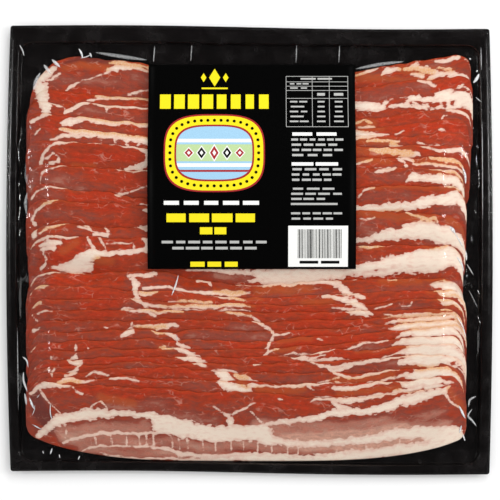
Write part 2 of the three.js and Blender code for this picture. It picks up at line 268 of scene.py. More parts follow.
@dataclass(frozen=True)
class CuredPorkFinish:
    """Smoked and cured pork belly: red lean, cream fat with ragged borders, and an orange smoked edge.

    It reads the rasher's Strip map, which runs along the rasher and in from its exposed edge, and the
    attributes fat (millimetres inside the nearest streak of fat, below zero in lean), ragged (how far its
    border wanders), smoke (share of smoke stain), shade (share of dark maroon, painted shade at the ends)
    and blush (1 is bright red lean, 0 is dull mauve and below it the muscle turns pale).
    """

    name: str = "smoked_cured_pork_belly"
    lean_blanched: str = "cc9883"
    lean_pale: str = "b5725f"
    lean_dull: str = "974331"
    lean_mid: str = "a53716"
    lean_bright: str = "b43108"
    lean_dark: str = "741f16"
    lean_maroon_shade: str = "6a2f28"
    fat_light: str = "ebd8c6"
    fat_pink: str = "dcae9c"
    smoke_fat: str = "dda267"
    smoke_lean: str = "b4501f"
    stretch: float = 2.6
    lobe_mm: float = 12.0
    thread_mm: float = 3.2
    cell_mm: float = 2.6
    swirl_mm: float = 4.0
    grain_mm: float = 0.9
    blotch_mm: float = 4.5
    wander_mm: float = 2.2
    scallop_mm: float = 1.1
    fray_mm: float = 2.4
    seam_share: float = 0.36
    relief_mm: float = 0.5

    def make(self) -> bpy.types.Material:
        """Build the material."""
        tree = ShaderTree.begin(self.name)
        strip = tree.add("UVMap", {"uv_map": "Strip"})
        # Streaks run along the rasher, so patterns are longer along it than across it.
        along = tree.add("Mapping", Vector=strip, Scale=(1.0, self.stretch, 1.0))
        lobe_scale = 1 / (self.lobe_mm * MM)
        lobes = tree.add("TexNoise", Vector=along, Scale=lobe_scale, Detail=3.0, Roughness=0.6)
        threads = tree.add("TexNoise", Vector=along, Scale=1 / (self.thread_mm * MM), Detail=2.0)
        cells = tree.add("TexVoronoi", Vector=strip, Scale=1 / (self.cell_mm * MM), Randomness=1.0)
        fat, ragged, smoke = tree.value("fat"), tree.value("ragged"), tree.value("smoke")
        blush, shade = tree.value("blush"), tree.value("shade")

        # The border of the fat wanders with the lobes, is scalloped by the cells and frays with the threads.
        from_middle = tree.math("SUBTRACT", cells.outputs["Distance"], 0.45)
        wander = tree.math("MULTIPLY", tree.math("SUBTRACT", lobes, 0.5), self.wander_mm)
        scallop = tree.math("MULTIPLY", from_middle, -self.scallop_mm)
        threads = tree.math("MULTIPLY", tree.math("SUBTRACT", threads, 0.5), self.fray_mm)
        fray = tree.math("ADD", tree.math("ADD", wander, scallop), threads)
        frayed = tree.math("MULTIPLY_ADD", fray, ragged, fat)
        is_fat = tree.ramp(frayed, -0.35, 0.25)

        # Thin pale walls between the bundles of muscle.
        swirl = tree.add("TexNoise", Vector=strip, Scale=1 / (self.cell_mm * 1.6 * MM), Detail=1.0)
        reach = (self.swirl_mm * MM, self.swirl_mm * MM, 0.0)
        shift = tree.add(
            "VectorMath", {"operation": "MULTIPLY_ADD"}, _0=swirl.outputs["Color"], _1=reach, _2=strip
        )
        bundles = tree.add(
            "TexVoronoi",
            {"feature": "DISTANCE_TO_EDGE"},
            Vector=tree.add("Mapping", Vector=shift, Scale=(1.0, 1.7, 1.0)),
            Scale=1 / (self.cell_mm * 2.2 * MM),
            Randomness=1.0,
        )
        wall = tree.ramp(bundles.outputs["Distance"], 0.0, 0.07, (1.0, 0.0))
        seam = tree.math("MULTIPLY", wall, tree.ramp(lobes, 0.5, 0.66))

        # Lean: mauve and dull away from the edge, red and bright near it, blotched and with a fine grain.
        grain = tree.add("TexNoise", Vector=strip, Scale=1 / (self.grain_mm * MM), Detail=3.0, Roughness=0.65)
        blotch_scale = 1 / (self.blotch_mm * MM)
        blotch = tree.add("TexNoise", Vector=along, Scale=blotch_scale, Detail=4.0, Roughness=0.6)
        wash = tree.math("MULTIPLY_ADD", tree.math("SUBTRACT", blotch, 0.5), 1.3, blush)
        tone = tree.math("MULTIPLY_ADD", tree.math("SUBTRACT", lobes, 0.5), 0.9, wash)
        pale = tree.mix(tree.ramp(tone, -1.1, -0.5), linear(self.lean_blanched), linear(self.lean_pale))
        dull = tree.mix(tree.ramp(tone, -0.5, 0.0), pale, linear(self.lean_dull))
        low_lean = tree.mix(tree.ramp(tone, 0.0, 0.5), dull, linear(self.lean_mid))
        lean = tree.mix(tree.ramp(tone, 0.45, 1.0), low_lean, linear(self.lean_bright))
        lean = tree.mix(tree.ramp(grain, 0.5, 0.8, (0.0, 0.5)), lean, linear(self.lean_dark))
        lean = tree.mix(1.0, lean, tree.ramp(blotch, 0.3, 0.7, (0.8, 1.12)), "MULTIPLY")
        lean = tree.mix(tree.math("MULTIPLY", smoke, 0.6), lean, linear(self.smoke_lean))
        # Painted shade: the lean turns maroon where shade is set, most at the rashers' ends.
        lean = tree.mix(tree.math("MULTIPLY", shade, 0.75), lean, linear(self.lean_maroon_shade))

        # Fat: cream, a little pink where it is thin, and stained orange along the smoked edge.
        fat_tone = tree.ramp(frayed, 0.0, 2.2, (0.7, 0.0))
        plain_fat = tree.mix(fat_tone, linear(self.fat_light), linear(self.fat_pink))
        plain_fat = tree.mix(tree.ramp(blotch, 0.46, 0.75, (0.0, 0.5)), plain_fat, linear(self.fat_pink))
        stain = tree.math("MULTIPLY", smoke, tree.ramp(grain, 0.35, 0.6, (0.3, 0.95)))
        stained_fat = tree.mix(stain, plain_fat, linear(self.smoke_fat))

        with_seams = tree.mix(tree.math("MULTIPLY", seam, self.seam_share), lean, linear(self.fat_pink))
        colour = tree.mix(is_fat, with_seams, stained_fat)
        height = tree.math("MULTIPLY_ADD", is_fat, 0.5, tree.math("MULTIPLY", grain, 0.35))
        bump = tree.add("Bump", Strength=0.5, Distance=self.relief_mm * MM, Height=height)
        return tree.finish(
            tree.add("BsdfPrincipled", Base_Color=colour, Roughness=0.48, IOR=1.4, Normal=bump)
        )


@dataclass(frozen=True)
class FloorFinish:
    """Pale studio floor: matt white paint with the faintest mottle."""

    name: str = "matt_white_studio_floor"
    colour: str = "fbfbfb"
    mottle: str = "f6f6f6"

    def make(self) -> bpy.types.Material:
        """Build the material."""
        tree = ShaderTree.begin(self.name)
        place = tree.place()
        mottle = tree.add("TexNoise", Vector=place, Scale=6.0, Detail=2.0)
        colour = tree.mix(mottle, linear(self.colour), linear(self.mottle))
        return tree.finish(tree.add("BsdfPrincipled", Base_Color=colour, Roughness=0.9))


# Shapes


def smooth_step(share: Array | float) -> Array:
    """Ease from 0 to 1 as share goes from 0 to 1."""
    held = np.clip(share, 0.0, 1.0)
    return held * held * (3 - 2 * held)


def share_between(value: Array | float, low: float, high: float) -> Array:
    """Ease from 0 to 1 as the value goes from low to high, which may be the smaller one."""
    return smooth_step((value - low) / (high - low))


def curve_through(stations: tuple[float, ...], values: tuple[float, ...], x: Array) -> Array:
    """Follow a smooth curve through the given values.

    Args:
        stations: Increasing X of the values.
        values: The curve's height at each station.
        x: Where the curve is wanted. Beyond the last station it runs on straight.

    Returns:
        The curve's height at each x.
    """
    slopes = np.gradient(np.array(values), np.array(stations))
    place = np.clip(np.searchsorted(stations, x) - 1, 0, len(stations) - 2)
    left, right = np.take(stations, place), np.take(stations, place + 1)
    t = (x - left) / (right - left)
    span = right - left
    low, high = np.take(values, place), np.take(values, place + 1)
    slope_low, slope_high = np.take(slopes, place), np.take(slopes, place + 1)
    inside = (
        (2 * t**3 - 3 * t**2 + 1) * low
        + (t**3 - 2 * t**2 + t) * span * slope_low
        + (-2 * t**3 + 3 * t**2) * high
        + (t**3 - t**2) * span * slope_high
    )
    before = values[0] + slopes[0] * (x - stations[0])
    beyond = values[-1] + slopes[-1] * (x - stations[-1])
    return np.where(t < 0, before, np.where(t > 1, beyond, inside))


@dataclass(frozen=True)
class Ripples:
    """A smooth random field, made from a few seeded waves."""

    seed: int
    length_x: float
    length_y: float
    waves: int = 9

    def at(self, x: Array, y: Array | float = 0.0) -> Array:
        """Give the field, mostly between -1 and 1, at the points."""
        draw = np.random.default_rng(self.seed)
        total = np.zeros(np.broadcast(x, y).shape)
        for _ in range(self.waves):
            pace_x = draw.uniform(0.5, 1.6) * draw.choice((-1, 1)) * 2 * math.pi / self.length_x
            pace_y = draw.uniform(0.5, 1.6) * 2 * math.pi / self.length_y
            total += np.sin(pace_x * x + pace_y * y + draw.uniform(0, 2 * math.pi))
        return total / math.sqrt(self.waves)


@dataclass
class Shell:
    """Points and faces of one piece, gathered until it is made an object."""

    points: list[Array] = field(default_factory=list)
    faces: list[Array] = field(default_factory=list)
    values: dict[str, list[Array]] = field(default_factory=dict)
    count: int = 0

    def add_slab(self, x: Array, y: Array, top: Array, under: Array, **values: Array) -> None:
        """Add a closed slab over a grid of points.

        Args:
            x: X of the grid's points, columns first.
            y: Their Y.
            top: Height of the slab's top there.
            under: Height of its underside there.
            **values: Further values at the grid's points, which the top and the underside share.
        """
        columns, rows = x.shape
        index = np.arange(columns * rows).reshape(columns, rows) + self.count
        below = index + columns * rows
        upper = np.stack([index[:-1, :-1], index[1:, :-1], index[1:, 1:], index[:-1, 1:]], -1).reshape(-1, 4)
        lower = np.stack([below[:-1, :-1], below[:-1, 1:], below[1:, 1:], below[1:, :-1]], -1).reshape(-1, 4)
        rim = np.concatenate([index[:-1, 0], index[-1, :-1], index[:0:-1, -1], index[0, :0:-1]])
        turned = np.roll(rim, -1)
        sides = np.stack([rim + columns * rows, turned + columns * rows, turned, rim], -1)
        for height in (top, under):
            self.points.append(np.stack([x.ravel(), y.ravel(), np.broadcast_to(height, x.shape).ravel()], -1))
        self.faces += [upper, lower, sides]
        for name, value in values.items():
            self.values.setdefault(name, []).extend([np.broadcast_to(value, x.shape).ravel()] * 2)
        self.count += 2 * columns * rows

    def make(self, name: str, material: bpy.types.Material, smooth: bool = True) -> bpy.types.Object:
        """Turn the gathered shape into an object at the origin.

        Args:
            name: The object's name.
            material: Its material.
            smooth: Whether its faces are shaded smooth.

        Returns:
            The object, in the scene. Values named u and v become its Strip map, and others attributes.
        """
        points = np.concatenate(self.points) * MM
        faces = np.concatenate(self.faces)
        mesh = bpy.data.meshes.new(name)
        mesh.from_pydata(points.tolist(), [], faces.tolist())
        mesh.materials.append(material)
        mesh.polygons.foreach_set("use_smooth", np.full(len(faces), smooth))
        joined = {key: np.concatenate(parts) for key, parts in self.values.items()}
        if "u" in joined:
            strip = mesh.uv_layers.new(name="Strip")
            corners = faces.ravel()
            strip_places = np.stack([joined["u"][corners], joined["v"][corners]], -1)
            strip.data.foreach_set("uv", strip_places.ravel() * MM)
        for key, value in joined.items():
            if key not in ("u", "v"):
                mesh.attributes.new(key, "FLOAT", "POINT").data.foreach_set("value", value.astype(np.float32))
        mesh.update()
        made = bpy.data.objects.new(name, mesh)
        bpy.context.scene.collection.objects.link(made)
        return made


def place(piece: bpy.types.Object, slot: str, *nodes: str) -> bpy.types.Object:
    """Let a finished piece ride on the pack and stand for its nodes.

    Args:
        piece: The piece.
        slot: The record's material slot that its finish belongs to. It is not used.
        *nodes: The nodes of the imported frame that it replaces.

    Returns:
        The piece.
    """
    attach(piece, BODY)
    if nodes:
        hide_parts(*nodes)
    triangles = sum(len(face.vertices) - 2 for face in piece.data.polygons)
    log.info("%s: %d triangles", piece.name, triangles)
    return piece


@dataclass(frozen=True)
class Outline:
    """A box with round corners, in the pack's plan."""

    left: float
    right: float
    bottom: float
    top: float
    radius: float

    def inset(self, distance: float) -> "Outline":
        """Give the same outline, moved in by a distance."""
        left, right = self.left + distance, self.right - distance
        bottom, top = self.bottom + distance, self.top - distance
        return Outline(left, right, bottom, top, max(self.radius - distance, 0.2))

    def grid(self, columns: int, rows: int) -> list[Array]:
        """Give X and Y of a grid of points over the box, columns first."""
        x = np.linspace(self.left, self.right, columns)
        return np.meshgrid(x, np.linspace(self.bottom, self.top, rows), indexing="ij")

    def ring(self, per_side: int, per_corner: int) -> Array:
        """Give points round the outline, anticlockwise from its lower right corner."""
        radius = self.radius
        corners = (
            (self.right - radius, self.bottom + radius, -90),
            (self.right - radius, self.top - radius, 0),
            (self.left + radius, self.top - radius, 90),
            (self.left + radius, self.bottom + radius, 180),
        )
        arcs = []
        for x, y, start in corners:
            turn = np.radians(start + np.linspace(0, 90, per_corner + 1))
            arcs.append(np.stack([x + radius * np.cos(turn), y + radius * np.sin(turn)], -1))
        points = []
        for arc, following in zip(arcs, arcs[1:] + arcs[:1]):
            points.append(arc)
            shares = np.linspace(0, 1, per_side + 1)[1:-1, None]
            points.append(arc[-1] * (1 - shares) + following[0] * shares)
        return np.concatenate(points)


@dataclass(frozen=True)
class SoftWeb:
    """The pack's plan: its outline, and how the soft web bows and wavers under the vacuum."""

    pack: Outline = Outline(-136.5, 136.5, -127.0, 127.0, 1.5)
    cavity: Outline = Outline(-131.8, 131.2, -122.6, 118.5, 8.0)
    left_bow: float = 2.5
    right_bow: float = 1.9
    end_tilt: float = 0.9
    end_wave: float = 0.7
    flange_height: float = 5.0

    def bowed(self, x: Array, y: Array) -> tuple[Array, Array]:
        """Move points of a straight outline to their place on the soft web."""
        across = x / self.pack.right
        along = y / self.pack.top
        bow = np.where(x < 0, -self.left_bow, self.right_bow) * np.abs(across) ** 3 * (1 - along**2)
        waver = -self.end_tilt * across - self.end_wave * np.sin(math.pi * across)
        return x + bow, y + waver * np.abs(along) ** 3


Place = tuple[float, float, float]


class Tissue(Enum):
    """What a streak in a rasher is."""

    FAT = "cream fat"
    LEAN = "an island of lean in the fat"
    SMOKE = "orange stain of the smoke"
    BRIGHT = "bright red lean"
    DULL = "dull mauve lean"
    PALE = "pale pink muscle"
    # Darker maroon lean; at the last rasher's left end it is painted shade.
    DARK = "dark maroon muscle end"

    def along(self, *spine: Place) -> "Streak":
        """Make a streak of this tissue along a spine of places."""
        return Streak(self, spine)


# How much brighter or duller a streak of each kind makes the lean.
STAINS = {Tissue.BRIGHT: 0.45, Tissue.DULL: -0.42, Tissue.PALE: -0.85}


@dataclass(frozen=True)
class Streak:
    """A streak in a rasher, along a spine of places: X, depth below the exposed edge and width."""

    tissue: Tissue
    spine: tuple[Place, ...]

    def inside(self, x: Array, depth: Array) -> tuple[Array, Array]:
        """Give how far each point is inside the streak.

        Args:
            x: X of the points.
            depth: Their depth below the exposed edge.

        Returns:
            The distance inside the streak's border, below zero outside it, and the streak's width nearby.
        """
        best = np.full(x.shape, -math.inf)
        nearby = np.zeros(x.shape)
        for (x0, d0, w0), (x1, d1, w1) in zip(self.spine, self.spine[1:]):
            run, fall = x1 - x0, d1 - d0
            share = np.clip(((x - x0) * run + (depth - d0) * fall) / (run * run + fall * fall), 0, 1)
            width = w0 + (w1 - w0) * share
            inside = 0.5 * width - np.hypot(x - x0 - run * share, depth - d0 - fall * share)
            nearby = np.where(inside > best, width, nearby)
            best = np.maximum(best, inside)
        return best, nearby


@dataclass(frozen=True)
class Cut:
    """One rasher's cut: Y of its exposed edge at the pile's stations, and the streaks that show below it."""

    edge: tuple[float, ...]
    streaks: tuple[Streak, ...]

    @classmethod
    def showing(cls, edge: tuple[float, ...], *streaks: Streak) -> "Cut":
        """Make a cut from its edge and any number of streaks."""
        return cls(edge, streaks)


@dataclass(frozen=True)
class Pile:
    """How the rashers lie: flat down to the first one's foot, then tilted, each on those laid before it.

    The film presses both ends down, by the share end_drop over end_drop_length. An upper corner is rounded by
    its reach along the edge and its fall, which go from first_corner to last_corner as the edges pass
    corner_range, and the first left ones are cut rounder. The feet curve up towards the ends, by foot_rise at
    foot_reach, for rashers whose feet are past lift_range.
    """

    height: float = 20.0
    first_height: float = 3.6
    ramp_length: float = 58.0
    tilt: float = 0.42
    first_foot: float = 60.0
    thickest: float = 4.2
    end_drop: float = 0.45
    end_drop_length: float = 16.0
    first_corner: tuple[float, float] = (9.0, 9.0)
    last_corner: tuple[float, float] = (13.0, 14.0)
    first_left_corners: tuple[tuple[float, float], ...] = ((30.0, 38.0), (12.0, 14.0))
    corner_range: tuple[float, float] = (50.0, 10.0)
    foot_corner: tuple[float, float] = (5.0, 5.0)
    foot_rise: float = 14.5
    foot_reach: float = 125.0
    foot_power: float = 3.7
    lift_range: tuple[float, float] = (-40.0, -100.0)
    left_end: float = -126.6
    right_end: float = 122.2
    right_end_top: float = 126.2
    end_jitter: float = 0.9
    upper_range: tuple[float, float] = (35.0, 80.0)
    blush: float = 0.45
    blush_jitter: float = 0.15
    last_showing: float = 60.0
    floor: float = 1.0
    gap: float = 0.12
    stations: tuple[float, ...] = (-108.5, -57.0, 0.0, 57.0, 108.0)

    def tilt_drop(self, y: Array) -> Array:
        """Give how far every rasher has come down at y."""
        return self.tilt * np.maximum(0, self.first_foot - y)

    def end_share(self, x: Array) -> Array:
        """Give the share of its height that the pile keeps at x, where the film presses the ends down."""
        inside = np.minimum(x - self.left_end, self.right_end - x)
        return 1 - self.end_drop * (1 - smooth_step(inside / self.end_drop_length))

    def level(self, edge_middle: float, first_middle: float) -> float:
        """Give the top's height before the tilt, where the exposed edge crosses the middle at edge_middle."""
        climb = smooth_step((first_middle - edge_middle) / self.ramp_length)
        rise = (self.height - self.first_height) * climb
        return float(self.first_height + rise + self.tilt_drop(edge_middle))


@dataclass(frozen=True)
class Rasher:
    """One rasher: its exposed edge, its level in the pile and the streaks that show on it.

    A border of a stain runs from where it starts to where it is full, in millimetres inside the streak.
    """

    number: int
    pile: Pile
    edge: tuple[float, ...]
    top: float
    under: float
    left: float
    right: float
    streaks: tuple[Streak, ...]
    blush: float
    showing: float
    corner: tuple[float, float]
    left_corner: tuple[float, float]
    beneath: "Rasher | None"
    above: tuple[float, ...] | None
    wobble: float = 0.55
    edge_round: float = 2.0
    edge_lip: float = 0.5
    edge_step: float = 1.1
    bend_reach: float = 13.0
    least_reach: float = 4.0
    relief: float = 0.3
    least_thickness: float = 0.3
    hidden_rows: int = 4
    foot_spread: float = 2.6
    island_rim: float = 0.35
    smoke_reach: float = 0.8
    edge_blush: float = 0.34
    edge_blush_reach: float = 2.6
    end_shade: float = 0.45
    end_shade_reach: float = 3.5
    smoke_border: tuple[float, float] = (-1.6, 1.0)
    dark_border: tuple[float, float] = (-1.4, 1.0)
    stain_border: tuple[float, float] = (-2.6, 2.6)
    end_turn: float = 6.0
    column_mm: float = 1.0
    row_mm: float = 0.8

    @property
    def name(self) -> str:
        """Name of the rasher's node."""
        return f"rasher_{self.number:02d}"

    @property
    def foot(self) -> float:
        """Y at which the rasher's underside reaches the tray."""
        pile = self.pile
        return pile.first_foot - (self.under - pile.floor / (1 - pile.end_drop)) / pile.tilt

    def cut_edge(self, x: Array) -> Array:
        """Give Y of the exposed edge before its corners are rounded, with its cut a little uneven."""
        uneven = Ripples(100 + self.number, 46, 1).at(x) + 0.5 * Ripples(200 + self.number, 13, 1).at(x)
        return curve_through(self.pile.stations, self.edge, x) + self.wobble * uneven

    def corner_fall(self, x: Array, corner: tuple[float, float]) -> Array:
        """Give how far a corner of the given reach and fall takes the edge in at x."""
        share = np.clip(1 - np.minimum(x - self.left, self.right - x) / corner[0], 0, 1)
        return corner[1] * (1 - np.sqrt(1 - share**2))

    def rounding(self, x: Array) -> Array:
        """Give how far the rounded upper corners take the edge in at x."""
        return np.where(x < 0, self.corner_fall(x, self.left_corner), self.corner_fall(x, self.corner))

    def exposed_edge(self, x: Array) -> Array:
        """Give Y of the exposed edge."""
        return self.cut_edge(x) - self.rounding(x)

    def lower_edge(self, x: Array) -> Array:
        """Give Y of the rasher's lower edge, which curves up towards the ends of the last ones."""
        pile = self.pile
        lift = pile.foot_rise * float(share_between(self.foot, *pile.lift_range))
        spread = 0.0 if self.above else self.foot_spread
        straight = self.foot - spread + lift * (np.abs(x) / pile.foot_reach) ** pile.foot_power
        return straight + self.corner_fall(x, pile.foot_corner)

    def height(self, x: Array, y: Array) -> Array:
        """Give the height of the rasher's top: its exposed edge bends down onto the rasher beneath."""
        pile = self.pile
        depth = np.maximum(self.exposed_edge(x) - y, 0)
        turn = np.clip(1 - depth / self.edge_round, 0, 1)
        rounding = self.edge_lip * (1 - np.sqrt(1 - turn**2))
        step = self.top - self.beneath.top - self.edge_step if self.beneath else 0.0
        reach = self.bend_reach
        if self.above:
            shown = self.exposed_edge(x) - curve_through(pile.stations, self.above, x)
            reach = np.clip(shown, self.least_reach, reach)
        bend = max(step, 0.0) * (1 - smooth_step(depth / reach))
        relief = self.relief * Ripples(7, 60, 34).at(x, y)
        return (self.top - rounding - bend - pile.tilt_drop(y) + relief) * pile.end_share(x)

    def under_height(self, x: Array, y: Array) -> Array:
        """Give the height of the rasher's underside, which lies on the bend of the rasher beneath."""
        top = self.height(x, y)
        lowest = (self.under - self.pile.tilt_drop(y)) * self.pile.end_share(x)
        if self.beneath:
            lowest = np.maximum(self.beneath.height(x, y), top - self.pile.thickest) + self.pile.gap
        return np.maximum(np.minimum(lowest, top - self.least_thickness), self.pile.floor * 0.7)

    def tissue_fields(self, x: Array, edge_distance: Array) -> dict[str, Array]:
        """Give the values that the finish reads.

        Args:
            x: X of the points.
            edge_distance: Their distance from the exposed edge with its rounded corners.

        Returns:
            Millimetres inside the fat, how ragged its border is, and the shares of smoke stain, of dark
            maroon, which is painted shade at the ends, and of bright red.
        """
        # Streaks are placed by depth below the straight cut, and turn down with the corner at the right.
        along = np.minimum(x, self.right - self.end_turn)
        depth = edge_distance + self.rounding(along)
        fat = np.full(x.shape, -3.0)
        ragged = np.full(x.shape, 0.8)
        patchy = 0.8 + 0.4 * Ripples(300 + self.number, 30, 9).at(x, depth)
        smoke = 0.5 * np.exp(-edge_distance / self.smoke_reach) * patchy
        # The cut is red where the smoke reached it, and dulls away from the edge.
        blush = self.blush - 0.1 + self.edge_blush * np.exp(-edge_distance / self.edge_blush_reach)
        blush = blush + 0.14 * Ripples(400 + self.number, 44, 12).at(x, depth)
        # Painted shade: the ends, which the film presses down, are darker.
        shade = self.end_shade * np.exp(-np.minimum(x - self.left, self.right - x) / self.end_shade_reach)
        for streak in sorted(self.streaks, key=lambda one: one.tissue is Tissue.LEAN):
            inside, width = streak.inside(along, depth)
            if streak.tissue is Tissue.FAT:
                ragged = np.where(inside > fat, np.clip(0.34 + 0.2 * width, 0.4, 1.4), ragged)
                fat = np.maximum(fat, inside)
            elif streak.tissue is Tissue.LEAN:
                fat = np.minimum(fat, self.island_rim - inside)
            elif streak.tissue is Tissue.SMOKE:
                smoke = np.maximum(smoke, share_between(inside, *self.smoke_border))
            elif streak.tissue is Tissue.DARK:
                shade = np.maximum(shade, share_between(inside, *self.dark_border))
            else:
                blush = blush + STAINS[streak.tissue] * share_between(inside, *self.stain_border)
        return {
            "fat": np.clip(fat, -3, 3),
            "ragged": ragged,
            "smoke": np.clip(smoke, 0, 1),
            "shade": np.clip(shade, 0, 1),
            "blush": np.clip(blush, -1.3, 1.1),
        }

    def build(self, finish: bpy.types.Material) -> bpy.types.Object:
        """Make the rasher's mesh.

        Args:
            finish: The material of cured pork.

        Returns:
            The rasher.
        """
        columns = int((self.right - self.left) / self.column_mm)
        x = np.linspace(self.left, self.right, columns)
        upper, lower = self.exposed_edge(x), self.lower_edge(x)
        shown = np.minimum(self.showing, 0.92 * (upper - lower))
        shown_rows = int(self.showing / self.row_mm) + 2
        fine = (np.linspace(0, 1, shown_rows) ** 1.25)[None, :] * shown[:, None]
        rest = np.linspace(0, 1, self.hidden_rows + 1)[None, 1:]
        coarse = shown[:, None] + (upper - lower - shown)[:, None] * rest
        depth = np.concatenate([fine, coarse], 1)[:, ::-1]
        grid_x = np.broadcast_to(x[:, None], depth.shape)
        y = upper[:, None] - depth
        cut_depth = self.cut_edge(x)[:, None] - y
        shell = Shell()
        shell.add_slab(
            grid_x,
            y,
            self.height(grid_x, y),
            self.under_height(grid_x, y),
            u=grid_x + 37 * self.number,
            v=cut_depth + 53 * self.number,
            **self.tissue_fields(grid_x, depth),
        )
        return shell.make(self.name, finish)


FAT, LEAN, SMOKE, BRIGHT, DULL, PALE, DARK = Tissue

# X of the thin walls of fat that cross the pale strip of muscle low on the last rasher.
STRIP_WALLS = (
    -88, -79, -70.4, -63, -59, -55, -44.6, -40.6, -35.7, -27, -20, -11, -4, 4, 12, 21, 27, 49, 66, 85,
)

